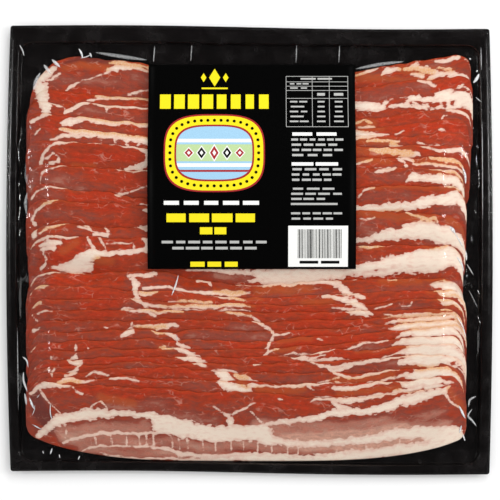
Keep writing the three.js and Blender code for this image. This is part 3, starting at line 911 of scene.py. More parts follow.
# The cuts, from the first rasher laid at the top of the pack to the last at its foot.
RASHERS: tuple[Cut, ...] = (
    Cut.showing(
        (112.0, 106.0, 104.3, 102.0, 110.0),
        FAT.along((-111, 8, 2), (-115, 11, 5), (-118.5, 16, 7), (-120, 23, 7.5)),
        LEAN.along((-113, 13, 0.6), (-116.5, 15.6, 1.8), (-118.5, 16.5, 0.6)),
        FAT.along((-113.5, 15.5, 1), (-112, 13.5, 1), (-108, 10.5, 0.7)),
        DARK.along((-106, 4.5, 1.5), (-97, 1, 3), (-86, 1, 3), (-76, 0.5, 2)),
        FAT.along((-81, 5, 2), (-76, 4.6, 4), (-68, 3, 3.4), (-57, 4, 1)),
        FAT.along((-80, 1.8, 1.6), (-74, 1.4, 2.4), (-64, 1.6, 1.6), (-57, 2, 1)),
        SMOKE.along((-82, 1.4, 3), (-72, 1.4, 3), (-57, 2, 2.5)),
        FAT.along(
            (-80.4, 6.4, 0.8), (-87.4, 10.4, 0.7), (-96.4, 13.9, 0.8), (-102.4, 17.7, 1.3), (-105, 20.4, 1),
        ),
        SMOKE.along((-106, 7, 3), (-97, 4.5, 4), (-82, 4, 4)),
        DULL.along((-112, 14, 8), (-96, 15, 5), (-60, 9, 8)),
        FAT.along((-57, 14.2, 1.2), (-62, 16, 1), (-69.4, 19, 1.3)),
        BRIGHT.along((-100, 19, 3), (-90, 19, 3)),
        FAT.along((60, 2, 1), (66, 1.5, 1.8), (73, 0.5, 1)),
        FAT.along((75, 5, 1), (78, 2.5, 3), (83, 2.8, 3), (86, 3, 2)),
        LEAN.along((79, 5.8, 1.6), (83, 6.4, 2.6)),
        FAT.along((88, 3, 2), (94, 3.5, 4), (100, 5, 4), (106, 8, 3)),
        SMOKE.along((86, 3, 3), (94, 5, 4), (104, 7, 4)),
        FAT.along((92, 7, 2), (98, 9, 2.4)),
        FAT.along((106, 2, 1.5), (112, 2.5, 2.5), (119, 1.5, 2.5)),
        DULL.along((102, 3, 3), (112, 5, 3)),
        SMOKE.along((108, 6, 2), (116, 8.5, 2)),
        FAT.along((108, 5.5, 1.5), (115, 8, 1.5)),
        FAT.along((102, 11, 2), (108, 9.5, 3), (114, 10, 3.5), (122, 13, 4)),
        LEAN.along((110, 9.8, 0.6), (116, 12.2, 0.8)),
        SMOKE.along((62, 3, 5), (80, 8, 1.6), (104, 12, 1)),
    ),
    Cut.showing(
        (90.6, 86.1, 86.6, 92.3, 98.0),
        FAT.along((-119, -1, 7), (-118.5, 4, 8), (-117, 9, 6)),
        FAT.along((-88, 1, 1.5), (-83, 0, 4), (-74, 0.5, 3), (-57, 0.5, 1.5)),
        SMOKE.along((-88, -0.5, 3), (-57, 0, 2)),
        FAT.along((-93, 3.8, 1), (-86, 2.2, 1.4), (-78, 1.4, 1)),
        BRIGHT.along((-113, 3, 3), (-90, 1, 4)),
        FAT.along((96, 0.5, 1.5), (102, 1.5, 2.5), (106, 3.5, 2)),
        BRIGHT.along((107, 4, 4), (120, 5, 4)),
        DULL.along((62, 5, 7), (78, 5, 8), (100, 5, 7)),
        FAT.along(
            (60, 10, 5), (66, 11, 6), (74, 12, 5.5), (82, 12, 4.5), (90, 12.6, 7.4), (100, 12.8, 9.4),
            (110, 12.3, 11), (120, 12.3, 13), (126, 11, 13),
        ),
        LEAN.along((75, 9.3, 3.6), (76, 8, 4)),
        LEAN.along((98, 8.3, 3.2), (104, 7.8, 3)),
        LEAN.along((77, 12.5, 1.2), (80, 11.5, 3), (84, 11, 3.4), (88, 11.5, 3)),
        LEAN.along((91, 13, 2.2), (95, 13.2, 2.2)),
        LEAN.along((96.5, 13.5, 2), (101, 14.4, 1.4)),
        LEAN.along((103, 14, 4), (106.5, 14, 3)),
        LEAN.along((110.5, 15, 3.6), (111, 16, 3)),
        LEAN.along((115.5, 14.2, 2.4), (115.6, 15.4, 2)),
        LEAN.along((117, 8.2, 1.8), (121, 8, 1.8)),
    ),
    Cut.showing(
        (83.8, 80.9, 78.7, 74.1, 79.8),
        FAT.along((-119, -1, 5), (-116, 2, 7), (-116, 5, 5.5), (-118.5, 8, 3)),
        LEAN.along((-121.5, 3, 2.4), (-121.5, 6, 1.6)),
        FAT.along(
            (-105, 5, 2.5), (-98, 1.5, 2.5), (-90, -0.3, 2), (-82, 0, 3), (-72, 0, 2.5), (-57, 0.5, 0.8),
        ),
        FAT.along((-81.5, 1, 1.5), (-81.5, 4, 0.5)),
        FAT.along((-112, 0, 1.2), (-106, 2, 0.8), (-104, 4.5, 1.2)),
        DULL.along((-95, 3, 4), (-75, 4, 4)),
        FAT.along((60, 2, 1.5), (65, 1, 1.5), (69, 3, 1.2)),
        SMOKE.along((60, 2, 4), (70, 3, 4)),
        FAT.along((61, 5, 1.5), (70, 5.5, 2)),
        FAT.along((109, 5, 1), (110, 3.5, 1.2), (112, 3.5, 0.8)),
        FAT.along((112, 0.5, 1.5), (118, 1.5, 2), (123, 1, 4), (126, 3, 4)),
        BRIGHT.along((72, 2, 4), (90, 3, 5), (108, 6, 4)),
    ),
    Cut.showing(
        (77.0, 71.3, 69.5, 68.4, 73.5),
        FAT.along(
            (-106, 4.5, 3), (-101, 3, 5), (-95, 1, 3.5), (-82, 1.2, 4), (-72, 0.6, 2.5), (-64, 0.8, 2),
            (-57, 1.2, 3.4),
        ),
        SMOKE.along((-97, -0.3, 2), (-83, -0.5, 3), (-71, -0.5, 3), (-57, 0, 2)),
        FAT.along((-124.6, 6.5, 2.4), (-119, 2.8, 1.4), (-115.5, 0.5, 3.6), (-114.5, -1, 5.4)),
        BRIGHT.along((-112, 4, 6), (-109, 2, 3)),
        DULL.along((-98, 5, 4), (-72, 5, 4)),
        FAT.along((60, 3, 4), (66, 4, 4.5), (72, 5, 3), (78, 5, 1.5)),
        FAT.along((82, 5, 0.8), (87, 3.5, 0.8)),
        FAT.along((107, 5, 2), (110, 6.5, 1.5)),
        FAT.along((121, 4, 1.5), (126, 4.5, 3.5)),
        BRIGHT.along((85, 1.5, 3), (100, 3, 5), (115, 4, 6)),
        SMOKE.along((62, 0, 3), (75, 1, 2)),
    ),
    Cut.showing(
        (69.5, 64.4, 63.8, 63.8, 65.6),
        FAT.along((-107, 1, 2), (-100, 1, 4), (-90, 1.5, 4.5), (-80, 1.5, 4), (-70, 2, 3.5), (-57, 2.5, 5)),
        FAT.along((-112, 7.5, 2), (-107, 5, 2.2), (-100, 3.5, 2), (-90, 3.5, 2)),
        FAT.along((-84, 3, 1), (-84, 6, 1.2)),
        FAT.along((-77, 3, 1.5), (-76, 6, 1)),
        FAT.along((-70, 3, 2.5), (-69, 6.5, 2)),
        FAT.along((-62, 4, 2), (-64, 6.5, 1)),
        SMOKE.along((-106, 0.4, 2.4), (-57, 0.4, 2.2)),
        FAT.along((-124, 0, 2.5), (-123.5, 2, 1)),
        FAT.along((-122, 5, 1.2), (-119, 2, 1.2)),
        BRIGHT.along((-118, 3, 5), (-108, 0, 3)),
        FAT.along((60, 0.5, 3), (68, 0.5, 2.5), (75, -0.5, 1.5)),
        FAT.along((66, 3, 1.5), (75, 3, 1.5), (84, 3, 1.2)),
        FAT.along((80, 5, 3), (86, 6, 2)),
        SMOKE.along((62, 3, 3), (82, 4, 4)),
        FAT.along((94, 4, 0.8), (100, 6, 1.2), (106, 7.5, 1.5)),
        FAT.along((125, 0, 2), (124.5, 4, 1.5)),
        BRIGHT.along((88, 2, 4), (105, 1, 5), (120, 4, 5)),
    ),
    Cut.showing(
        (61.6, 57.6, 57.0, 58.1, 58.7),
        FAT.along((-118.5, 13, 2.5), (-117, 8, 1.6), (-113, 3.2, 1.6), (-106, 0.6, 1.6), (-97, -0.5, 1)),
        FAT.along((-97, -0.5, 1), (-85, -0.8, 1.4), (-74, -0.3, 1.2), (-62, 0.5, 2)),
        FAT.along((-62, 0.5, 2), (-58, 3, 3), (-57, 7, 3), (-60, 10, 4), (-66, 12, 3), (-70, 13, 2)),
        FAT.along((-115, 10, 1.5), (-111, 7, 1), (-108, 9, 1), (-108, 12, 1.5), (-113, 12.5, 2)),
        BRIGHT.along((-98, 8, 6), (-65, 5, 6)),
        SMOKE.along((-100, 12.8, 1.5), (-88, 12.5, 1.5)),
        DULL.along((-123, 4, 6), (-123, 12, 6)),
        DULL.along((-112, 5, 3), (-104, 3, 3)),
        FAT.along((68, 1, 2), (76, 1.5, 3.5), (84, 3.5, 4), (90, 5, 4), (95, 4.5, 2)),
        SMOKE.along((60, 2, 4), (75, 2, 5), (90, 4, 5)),
        FAT.along((96, 0, 0.8), (104, 2, 1.5), (112, 3.5, 2.5), (120, 2.5, 2.5), (124, 2, 2.5)),
        FAT.along((84, 6, 2), (92, 6, 2)),
    ),
    Cut.showing(
        (47.9, 44.5, 46.7, 51.3, 52.4),
        FAT.along((-119, 11, 0.8), (-117.8, 5, 1.1), (-114, 2, 1.1), (-106, 0, 0.8), (-98, -0.8, 0.6)),
        FAT.along((-76, 0, 1), (-66, -0.5, 2), (-57, -0.5, 2.5)),
        FAT.along((-76, 15, 1.4), (-66, 11, 0.8), (-57, 8.8, 0.8)),
        BRIGHT.along((-90, 3, 6), (-70, 6, 8), (-57, 6, 5)),
        DULL.along((-110, 6, 8), (-95, 12, 6)),
        DULL.along((-124, 5, 6), (-124, 15, 6)),
        FAT.along((60, 3.4, 1), (64, 2.6, 1.8), (69, 1.2, 1.2)),
        SMOKE.along((60, 1, 3), (78, 2, 3)),
        FAT.along((83, 0, 1.5), (87, 3, 1.5), (88, 5, 2)),
        FAT.along((86, 0.5, 2), (92, 1.5, 1.5)),
        FAT.along((92, 3, 1), (100, 4, 1.8), (108, 5, 2), (117, 5.5, 1.5)),
        SMOKE.along((94, 1, 4), (108, 2, 5), (119, 2, 5)),
        FAT.along((102, 1, 2), (110, 1.5, 3), (117, 2, 2)),
        FAT.along((71, 6.5, 2), (82, 6, 1.5)),
    ),
    Cut.showing(
        (35.9, 29.6, 36.5, 45.6, 45.6),
        FAT.along(
            (-124.5, 10, 0.9), (-121.5, 5.5, 0.8), (-115, 1.6, 1), (-108, 0.3, 0.8), (-101, -0.6, 1.2),
        ),
        FAT.along((-76, 0.5, 1), (-71, -1, 2)),
        FAT.along((-62, 3.6, 0.6), (-57, 4, 1.5)),
        BRIGHT.along((-100, 4, 6), (-75, 2, 6)),
        DULL.along((-116, 6, 5), (-108, 5, 4)),
        FAT.along((71, 2, 1.5), (76, 0.8, 2), (82, 0, 1.5), (86, -0.5, 1)),
        FAT.along((100, -0.5, 1), (108, 0.5, 1.5), (118, 2, 2), (120, 1, 2)),
        SMOKE.along((102, 1, 2), (118, 2.5, 2)),
        FAT.along((88, 7.5, 1.5), (92, 5.5, 5), (98, 5.5, 3.5), (106, 5, 5.5), (114, 6.5, 6), (121, 7, 6)),
        BRIGHT.along((62, 8, 3), (90, 10, 2)),
        DULL.along((70, 4, 7), (86, 4, 6)),
    ),
    Cut.showing(
        (27.9, 25.1, 26.8, 35.3, 35.9),
        FAT.along((-124, 12, 1.2), (-121, 6.5, 1.2), (-116, 2.8, 1.5), (-111, 0.5, 1.8), (-107, -0.5, 1)),
        SMOKE.along((-118, 3, 1.5), (-107, -0.5, 1.5)),
        FAT.along((-60, 2, 1), (-57, 3, 3)),
        FAT.along((-62, 12, 2), (-57, 12, 3)),
        FAT.along((-124, 12.5, 2), (-122, 14, 3)),
        BRIGHT.along((-100, 11, 2), (-62, 10, 2)),
        BRIGHT.along((-92, 2, 4), (-70, 3, 5)),
        DULL.along((-112, 8, 6), (-90, 7, 5)),
        FAT.along((61, 5, 1.2), (64, 1.5, 1), (70, 0.8, 0.8)),
        FAT.along((110, -0.5, 2), (118, 0.5, 3), (122, 1, 3)),
        SMOKE.along((68, 1, 1), (90, 0.5, 1.4), (106, 1, 2), (122, 1.5, 2)),
        FAT.along(
            (60, 11.5, 5), (70, 12.5, 4.5), (80, 12, 4.5), (90, 11.5, 4.5), (97, 9, 6.5), (104, 8, 6),
            (112, 7.5, 7.5), (121, 6, 9),
        ),
        LEAN.along((102, 13, 4), (104, 13.5, 4)),
        LEAN.along((109, 14, 2), (109.2, 14.6, 2)),
        LEAN.along((116, 14, 4), (122, 13, 5)),
        SMOKE.along((60, 14.5, 1.2), (85, 14.5, 1.2)),
        DULL.along((66, 5, 6), (88, 5, 6)),
        DULL.along((103, 13, 4), (122, 13, 5)),
    ),
    Cut.showing(
        (14.3, 12.5, 16.0, 21.7, 20.0),
        FAT.along((-122.5, -0.5, 3), (-122.5, 4, 4), (-123, 7.5, 3)),
        FAT.along((-119, 4.5, 1.2), (-115, 2.3, 1.6), (-109, 0.3, 1.5), (-102, -0.6, 1.4)),
        SMOKE.along((-118, 3, 1.5), (-103, -0.5, 1.5)),
        FAT.along((-97, 1, 1.5), (-91, 2, 1.2), (-86, 3.5, 1.2), (-80, 5, 1.5)),
        FAT.along((-94, -1, 1.5), (-90, 1.5, 1)),
        FAT.along((-88, 4, 2), (-80, 3.5, 1.2)),
        FAT.along((-82, 0, 1), (-80, 2, 1.2)),
        FAT.along((-65, -0.5, 1), (-59, 0, 3), (-57, 0.5, 3)),
        FAT.along((62, 5, 0.8), (66, 5, 1.4), (70, 4, 1)),
        SMOKE.along((62, 1.5, 3), (85, 2.5, 4), (104, 2, 4)),
        DULL.along((64, 9, 6), (68, 12, 8)),
        FAT.along((88, 0, 1.5), (94, 1.5, 1.2)),
        FAT.along((94, 1.5, 1.5), (100, 3, 1.5), (104, 2, 1.5), (106, 5, 1.5)),
        FAT.along(
            (60, 17, 2.5), (68, 16, 3.5), (76, 13, 7), (84, 12, 6.5), (92, 10, 9), (100, 9.5, 11),
            (108, 10.5, 11), (115, 12.5, 9), (121, 15, 7),
        ),
        SMOKE.along((112, 3, 4), (118, 5, 4), (120, 9, 3)),
        BRIGHT.along((75, 19, 2), (95, 17, 2)),
    ),
    Cut.showing(
        (8.0, 6.3, 4.0, 2.3, 2.9),
        FAT.along(
            (-127, 19, 1.5), (-127, 11, 1.5), (-125, 7, 1.3), (-120, 3, 1.3), (-113, 1.2, 1.5),
            (-104, 0.5, 1.8), (-97, 0.4, 1),
        ),
        DULL.along((-123, 9, 5), (-123, 17, 5)),
        FAT.along((-119, 6, 2), (-112, 4.5, 3), (-107, 4, 3)),
        FAT.along((-118, 8, 2), (-110, 7.5, 2.5)),
        FAT.along((-117, 10, 1.2), (-115, 14, 1), (-116, 17, 1.5), (-118.5, 19, 2)),
        BRIGHT.along((-110, 14, 6), (-98, 6, 8)),
        SMOKE.along((-106, 9, 3), (-98, 3, 4)),
        FAT.along(
            (-112, 19, 2), (-104, 18, 5), (-96, 14.5, 9), (-90, 11, 7), (-84, 9, 4), (-76, 8, 3),
            (-66, 7.5, 2.8), (-57, 7, 3.2),
        ),
        FAT.along((-106, 19, 3), (-98, 18, 7), (-91, 17, 6)),
        FAT.along((-92, 0, 1.2), (-90, 4, 1.5), (-87, 8, 1.5)),
        FAT.along((-85, 0, 1), (-81, 6.5, 1.3)),
        FAT.along((-81, 3, 0.8), (-72, 2.6, 1), (-66, 2.4, 0.8)),
        FAT.along((-66, 2.4, 0.8), (-65, 7, 1)),
        FAT.along((-60, 1, 2), (-57, 3, 4), (-58, 7, 3)),
        SMOKE.along((-86, 13, 4), (-78, 13, 3)),
        FAT.along((62, 0, 1.5), (66, 0.5, 2.5), (72, 0, 2), (76, -0.5, 1)),
        SMOKE.along((62, 1, 2), (74, 0.5, 3)),
        DULL.along((66, 7, 4), (84, 6, 3)),
        FAT.along(
            (56, 14, 5), (64, 13, 6), (72, 11.5, 7), (80, 9.5, 7.5), (88, 8.5, 8), (96, 7.5, 11),
            (104, 7, 13), (111, 6.5, 13), (116, 8, 10),
        ),
        FAT.along((40, 16, 3), (56, 15, 4), (70, 15.5, 4), (84, 14, 6), (98, 13, 7), (108, 12, 6)),
        LEAN.along((103, 17, 3), (110, 15.5, 4), (116, 15.5, 5), (122, 16, 6)),
        LEAN.along((82, 18, 4), (92, 17.5, 4), (97, 17, 3)),
        LEAN.along((118, 2, 2.4), (120, 6, 3)),
        SMOKE.along((98, 0.8, 1.6), (111, 0.8, 1.6)),
        FAT.along(
            (-36, 16.5, 1.2), (-22, 16.6, 2.4), (-8, 16.8, 3.4), (3, 18.6, 8), (24, 18.2, 9.6),
            (40, 16.8, 8), (52, 15.5, 6),
        ),
        LEAN.along((-16, 19.6, 3), (-6, 19.8, 4), (1, 19.4, 3)),
        PALE.along((-19, 20, 5), (-1, 20, 5)),
    ),
    Cut.showing(
        (-13.1, -12.5, -20.0, -16.5, -16.5),
        FAT.along(
            (-124.5, 7, 1), (-122, 2.5, 1), (-117, 0.6, 1), (-104, -0.6, 1.2), (-96, -0.8, 2.4),
            (-88, -0.8, 0.8),
        ),
        BRIGHT.along((-110, 5, 6), (-75, 4, 8)),
        FAT.along((-69, 2.5, 1), (-66, 4.5, 2.5), (-64, 8, 4), (-65, 11, 3)),
        FAT.along((-68, 2, 1.5), (-60, 3, 2), (-54, 1.5, 3)),
        FAT.along(
            (-60, 10, 2), (-48, 8.5, 1.5), (-36, 7.5, 1.5), (-24, 6.5, 1.8), (-14, 5, 3.5), (-6, 4.5, 3),
            (0, 4, 1),
        ),
        SMOKE.along((-20, 5, 2), (-4, 4, 3)),
        FAT.along((-30, 1, 1), (-24, -0.5, 3), (-22, 2.5, 1)),
        FAT.along(
            (-22, -1.2, 1), (-10, -1, 1.6), (0, -1, 2.5), (10, -0.3, 3), (25, -0.2, 3.2), (38, 0, 3),
            (47, 1, 3.4), (52, 4, 4.5), (56, 8, 3),
        ),
        FAT.along((50, -1, 1.5), (60, -1, 2), (75, -1.2, 1.5)),
        FAT.along((103, 3, 2), (110, 4, 6), (118, 5, 7), (121, 5, 6)),
        SMOKE.along((100, 0.5, 2), (120, 1, 2)),
        FAT.along((78, 0.3, 0.8), (83, 0.5, 0.8)),
        SMOKE.along((4, 3, 4), (34, 4, 4)),
        SMOKE.along((74, 1.5, 3), (96, 1.5, 3)),
    ),
    Cut.showing(
        (-20.0, -22.8, -26.8, -24.5, -22.2),
        FAT.along((-125, 7, 1), (-123, 1.5, 1)),
        FAT.along((-122, 3, 1), (-118, 1.5, 2.5), (-114, 0, 1.5)),
        SMOKE.along((-121, 2.5, 2), (-114, 0, 2)),
        FAT.along((-65, -1, 2.5), (-64, 3, 2.5), (-63, 6, 4), (-61, 6, 2)),
        FAT.along((-72, 6, 1.2), (-66, 6, 2.5)),
        FAT.along((-61, 1, 3), (-56, 1, 3), (-52, 0, 1)),
        SMOKE.along((-61, 0.5, 2), (-52, 0, 2)),
        FAT.along((-46, 6.5, 1.2), (-34, 5, 1.8), (-26, 4.3, 2), (-22, 3.5, 1.5)),
        SMOKE.along((-40, 5.5, 2), (-22, 3.5, 2)),
        FAT.along((-22, -1, 1.5), (-16, 0, 2.5), (-10, 0.5, 2.5), (-4, 1, 2)),
        SMOKE.along((-10, 0, 3), (6, 0, 3)),
        FAT.along((41, 0.5, 1.5), (48, 2, 2.5), (53, 3, 3), (58, 5, 4.5), (63, 7, 3.5)),
        FAT.along((47, -1, 2), (55, -1, 4), (60, 1, 3), (65, 3, 1.5)),
        FAT.along((104, 0, 1.5), (110, 2, 4), (117, 3, 6), (121, 3, 6)),
        SMOKE.along((100, 0, 2), (120, 0.5, 2)),
        SMOKE.along((106, 3.5, 1), (121, 4, 1.5)),
        BRIGHT.along((-95, 4, 5), (-80, 5, 4)),
        SMOKE.along((30, 4, 3), (46, 4, 3)),
    ),
    Cut.showing(
        (-27.4, -28.5, -30.8, -30.2, -27.4),
        FAT.along((-124, 6, 1.2), (-121, 3.5, 2.2), (-118.5, 2.5, 2)),
        SMOKE.along((-122, 4, 2), (-118.5, 2.5, 2)),
        FAT.along((-72, -1, 1.5), (-66, -0.5, 2.5), (-62, 1, 2), (-58, 3.5, 1.5)),
        FAT.along(
            (-60, 2, 1.5), (-52, 2.8, 1.8), (-44, 2.6, 1.8), (-34, 2, 2.5), (-22, 1, 3), (-10, 0.8, 2.5),
            (0, 1.5, 1),
        ),
        SMOKE.along((-50, 2, 1.5), (-20, 0, 2), (2, 0.5, 2)),
        FAT.along((-48, 5.5, 1), (-36, 4, 1), (-20, 3.5, 1), (0, 4, 0.8)),
        FAT.along((-72, 6, 2), (-64, 6.5, 2), (-56, 6, 2.5), (-44, 6.5, 2)),
        FAT.along((56, -1, 4), (62, 1, 4), (66, 3, 1.5)),
        FAT.along((46, 2, 0.8), (56, 3, 1.5), (62, 4, 3)),
        FAT.along((70, 2.5, 0.8), (80, 1.5, 0.6)),
        FAT.along((85, 3.5, 0.8), (90, 4, 1.2), (91, 1.5, 0.8)),
        FAT.along((106, 0, 2), (110, 1.5, 4), (116, 2, 5), (121, 2, 6)),
        SMOKE.along((104, 0, 2), (121, 1, 2)),
        SMOKE.along((110, 4, 1), (120, 4, 1)),
        BRIGHT.along((-95, 3, 4), (-75, 3, 4)),
        BRIGHT.along((5, 3, 5), (40, 3, 5)),
    ),
    Cut.showing(
        (-33.6, -33.6, -34.8, -34.8, -32.5),
        FAT.along((-125, 1, 1), (-123, 5, 1), (-121, 6.5, 1.5)),
        FAT.along((-120, 2.5, 1), (-115, 1, 1.2), (-111, 0.5, 0.8)),
        FAT.along((-72, 0, 1.5), (-66, 1, 1.5), (-60, 0.8, 1.5), (-54, 3, 2)),
        FAT.along((-62, 0, 1.5), (-52, 1.5, 1.8), (-44, 0.5, 2), (-38, 0.5, 1.5)),
        SMOKE.along((-60, 0, 1.6), (-38, 0.5, 2)),
        FAT.along((-14, 0.5, 1.5), (-6, 1.5, 2), (0, 2, 1)),
        SMOKE.along((-14, 0, 2), (0, 1, 2)),
        FAT.along((55, -0.5, 3), (60, 0.5, 5), (66, 1, 4), (69, 2, 1)),
        FAT.along((0, 2, 1.5), (5, 5, 1.5)),
        FAT.along((75, 2, 1), (82, 3, 1.5), (92, 3, 2), (105, 3, 1.8), (118, 3, 1.5)),
        FAT.along((70, 5, 1), (80, 5, 2.5), (95, 5, 3), (110, 5, 3), (120, 4, 3)),
        FAT.along((108, 0, 2), (115, 0.5, 3), (121, 1, 4)),
        SMOKE.along((100, 1, 3), (120, 1.5, 3)),
        SMOKE.along((75, 3.8, 1.3), (120, 3.8, 1.3)),
        BRIGHT.along((-100, 1, 3), (-80, 2, 3)),
        BRIGHT.along((20, 2, 5), (50, 2, 5)),
    ),
    Cut.showing(
        (-39.9, -39.3, -39.9, -39.3, -36.5),
        FAT.along((-126, 6, 1.5), (-124, 3, 1), (-121, -1, 1)),
        FAT.along((-123, 6, 2), (-119, 4.5, 1.5)),
        FAT.along((-82, 3.5, 1), (-80, 4, 1)),
        FAT.along((-66.5, 1, 0.8), (-67, 4, 1.5), (-69, 7, 3.5)),
        FAT.along((-66, 3, 1), (-60, 3.5, 2), (-55, 3.5, 2.2), (-50, 4, 2.5)),
        SMOKE.along((-64, 4, 2), (-48, 4.5, 2.5)),
        FAT.along((-52, 5, 2.5), (-47, 4.5, 3)),
        FAT.along((-47, 4, 2), (-44, 3, 3), (-41, 4, 2)),
        FAT.along((0, -1, 2), (5, 0, 1.8), (9, 3, 1.6), (13, 6, 1.8)),
        FAT.along((76, 3, 1.2), (84, 2, 2), (92, 1.5, 3), (104, 1.5, 3.5), (116, 1.5, 3), (121, 2, 3)),
        FAT.along((74, 6, 1), (84, 5, 2), (96, 4.5, 2), (110, 4.5, 2.5), (121, 5, 2)),
        SMOKE.along((84, 3, 1.3), (120, 3.2, 1.3)),
        SMOKE.along((80, -0.3, 1.5), (118, -0.3, 1.5)),
        DULL.along((-110, 4, 4), (-90, 4, 4)),
        BRIGHT.along((30, 1, 4), (60, 1, 4)),
        DULL.along((-10, 3, 5), (4, 3, 4)),
    ),
    Cut.showing(
        (-46.2, -45.0, -45.6, -43.3, -39.3),
        FAT.along((-125, 6, 1.5), (-122, 2.5, 1.5), (-119, -0.5, 1.5)),
        FAT.along((-72, 3, 2), (-69, 1.5, 3.5), (-66, 1.5, 2.5)),
        FAT.along((-55, 0, 2), (-50, 0, 3)),
        SMOKE.along((-55, 0, 2), (-49, 0, 3)),
        FAT.along((-48, -0.5, 1.5), (-43, 2, 2.5), (-40, 5, 2)),
        FAT.along((12, -1, 1.6), (13, 2, 1.6), (12, 5.5, 2.5)),
        FAT.along((13, 2.5, 2), (18, 2.2, 1.2), (22, 1.8, 0.8)),
        FAT.along((78, 2, 1), (84, 2, 4), (92, 1.5, 5.5), (104, 1.5, 5), (116, 2, 4), (121, 2, 4)),
        FAT.along((80, 4.5, 2), (90, 4.8, 2.5), (104, 4.5, 2.5), (118, 5, 3)),
        SMOKE.along((80, -0.4, 1.6), (118, 0, 1.6)),
        SMOKE.along((90, 3.3, 1), (118, 3.5, 1.2)),
        DULL.along((-34, 3, 5), (8, 3, 5)),
        BRIGHT.along((26, 2, 4), (60, 3, 4)),
        DULL.along((-122, 4, 4), (-105, 4, 4)),
    ),
    Cut.showing(
        (-51.9, -50.2, -51.3, -47.3, -43.3),
        FAT.along((-125, 5, 1.5), (-122, 2.5, 1.5)),
        FAT.along((-98, 2, 0.8), (-98, 5, 2)),
        FAT.along((-91, 4.5, 1), (-91, 5, 0.8)),
        FAT.along((-51, 4.5, 1.5), (-48, 4, 1.5)),
        SMOKE.along((-51, 4.5, 2), (-48, 4, 2)),
        FAT.along((-41, 0, 1), (-40.5, 2, 1.5), (-38, 3.5, 2.5), (-35, 5, 2)),
        FAT.along((11, 0, 1.5), (10.5, 2.5, 1.5), (9, 5, 2.5)),
        FAT.along((38, 1.5, 1), (41, 2.5, 0.8)),
        FAT.along((82, 4.5, 1), (86, 2, 3), (92, 2, 5.5), (104, 2.2, 6), (114, 3, 5), (120, 4.5, 3)),
        SMOKE.along((84, -0.3, 1.6), (112, -0.3, 1.6), (119, 2, 1.6)),
        DULL.along((-60, 3, 5), (-20, 3, 5)),
        BRIGHT.along((-10, 4, 3), (5, 3, 3)),
        BRIGHT.along((20, 3, 4), (70, 3, 4)),
        SMOKE.along((16, 1, 2), (34, 1, 2)),
    ),
    Cut.showing(
        (-57.0, -55.3, -55.9, -51.9, -47.9),
        FAT.along((-125, 0, 1.5), (-122.5, 2.5, 2.5)),
        FAT.along((-112, 4, 1), (-112, 5.5, 1)),
        FAT.along((-98, 1.5, 1.5), (-98.5, 3, 3), (-101, 5, 1.5)),
        FAT.along((-49, 0, 2), (-43, 0.5, 2)),
        SMOKE.along((-50, 0, 2.4), (-44, 0.5, 2)),
        FAT.along((-45, -0.5, 1.5), (-38, 1.5, 3.5), (-33, 3, 3.5), (-29, 5, 3)),
        LEAN.along((-39, 2.8, 0.9), (-33, 4.2, 0.9)),
        FAT.along((10, -0.5, 2), (10, 2, 1.5), (8, 4.5, 2)),
        FAT.along((11, 1.5, 1.2), (16, 0, 1)),
        FAT.along(
            (17, 4.5, 0.8), (24, 3.5, 1), (27, 5, 1.5), (36, 6, 1.6), (46, 5, 1.6), (55, 4, 1.2),
            (64, 1.5, 1.2), (72, 1, 0.8), (78, 0, 0.8),
        ),
        FAT.along((80, 3.5, 1.5), (86, 2, 4), (95, 2.4, 8), (106, 2.6, 8.4), (115, 4, 9), (120, 5, 6)),
        BRIGHT.along((-70, 3, 4), (-50, 3, 4)),
        BRIGHT.along((-15, 3, 4), (5, 3, 3)),
        SMOKE.along((14, 1, 2), (26, 1, 2)),
        BRIGHT.along((30, 2, 4), (56, 1, 4)),
        DULL.along((60, 4, 3), (78, 4, 3)),
    ),
    Cut.showing(
        (-62.1, -59.9, -60.4, -56.4, -52.4),
        FAT.along((-123, 1, 1.2), (-122, 4, 1.2)),
        FAT.along((-103, 0, 1), (-100, 1.5, 2.5), (-96, 2, 3.5), (-98, 4.5, 2.5)),
        FAT.along((-42, -1, 1.5), (-36, 0.5, 3.5), (-30, 2, 3.5), (-25, 4, 2.5)),
        FAT.along((20, -1, 1.5), (28, 0.5, 2), (34, 2, 1.2), (42, 2.5, 0.8)),
        FAT.along(
            (24, 0, 1), (30, 2, 1.5), (36, 4, 2), (44, 5.5, 2.2), (56, 6, 1.6), (70, 5.5, 1.2),
            (82, 4.5, 1), (88, 3, 1.5),
        ),
        FAT.along((30, -1, 1.2), (40, 0.3, 1.5), (50, -0.8, 1.5)),
        FAT.along((84, 4, 1), (90, 3, 6), (98, 3.4, 8.6), (106, 4, 9.4), (112, 5, 9), (117, 7, 6)),
        FAT.along((108, 0.5, 1), (114, 1, 1.5), (118, 4, 1.2)),
        DULL.along((120, 3, 4), (124, 6, 6)),
        BRIGHT.along((48, 3, 4), (84, 2, 4)),
        SMOKE.along((60, 0, 2), (88, 0.5, 2)),
        BRIGHT.along((-80, 2, 4), (-50, 2, 4)),
    ),
    Cut.showing(
        (-65.6, -63.3, -64.4, -61.6, -58.7),
        FAT.along((-114, 1, 0.8), (-111, 3, 1.5), (-110, 1, 0.8)),
        FAT.along((-104, 5, 2.5), (-99, 3.5, 2.5), (-96, 0, 2)),
        FAT.along((-91, 4.5, 0.8), (-87, 4.5, 2)),
        FAT.along((-34, -1, 1.5), (-29, 0, 2.5), (-25, 2, 2)),
        FAT.along((-22, 5, 1.5), (-16, 4, 3), (-10, 5, 4), (-5, 6, 3)),
        FAT.along(
            (34, 0, 1.2), (40, 2.5, 1.6), (46, 3.5, 2), (54, 3, 2.5), (62, 2, 2.5), (72, 1, 2),
            (82, 0, 1.5), (88, -0.5, 2),
        ),
        FAT.along((44, 4, 1), (47, 6, 3), (52, 5, 2.5), (57, 3.5, 2)),
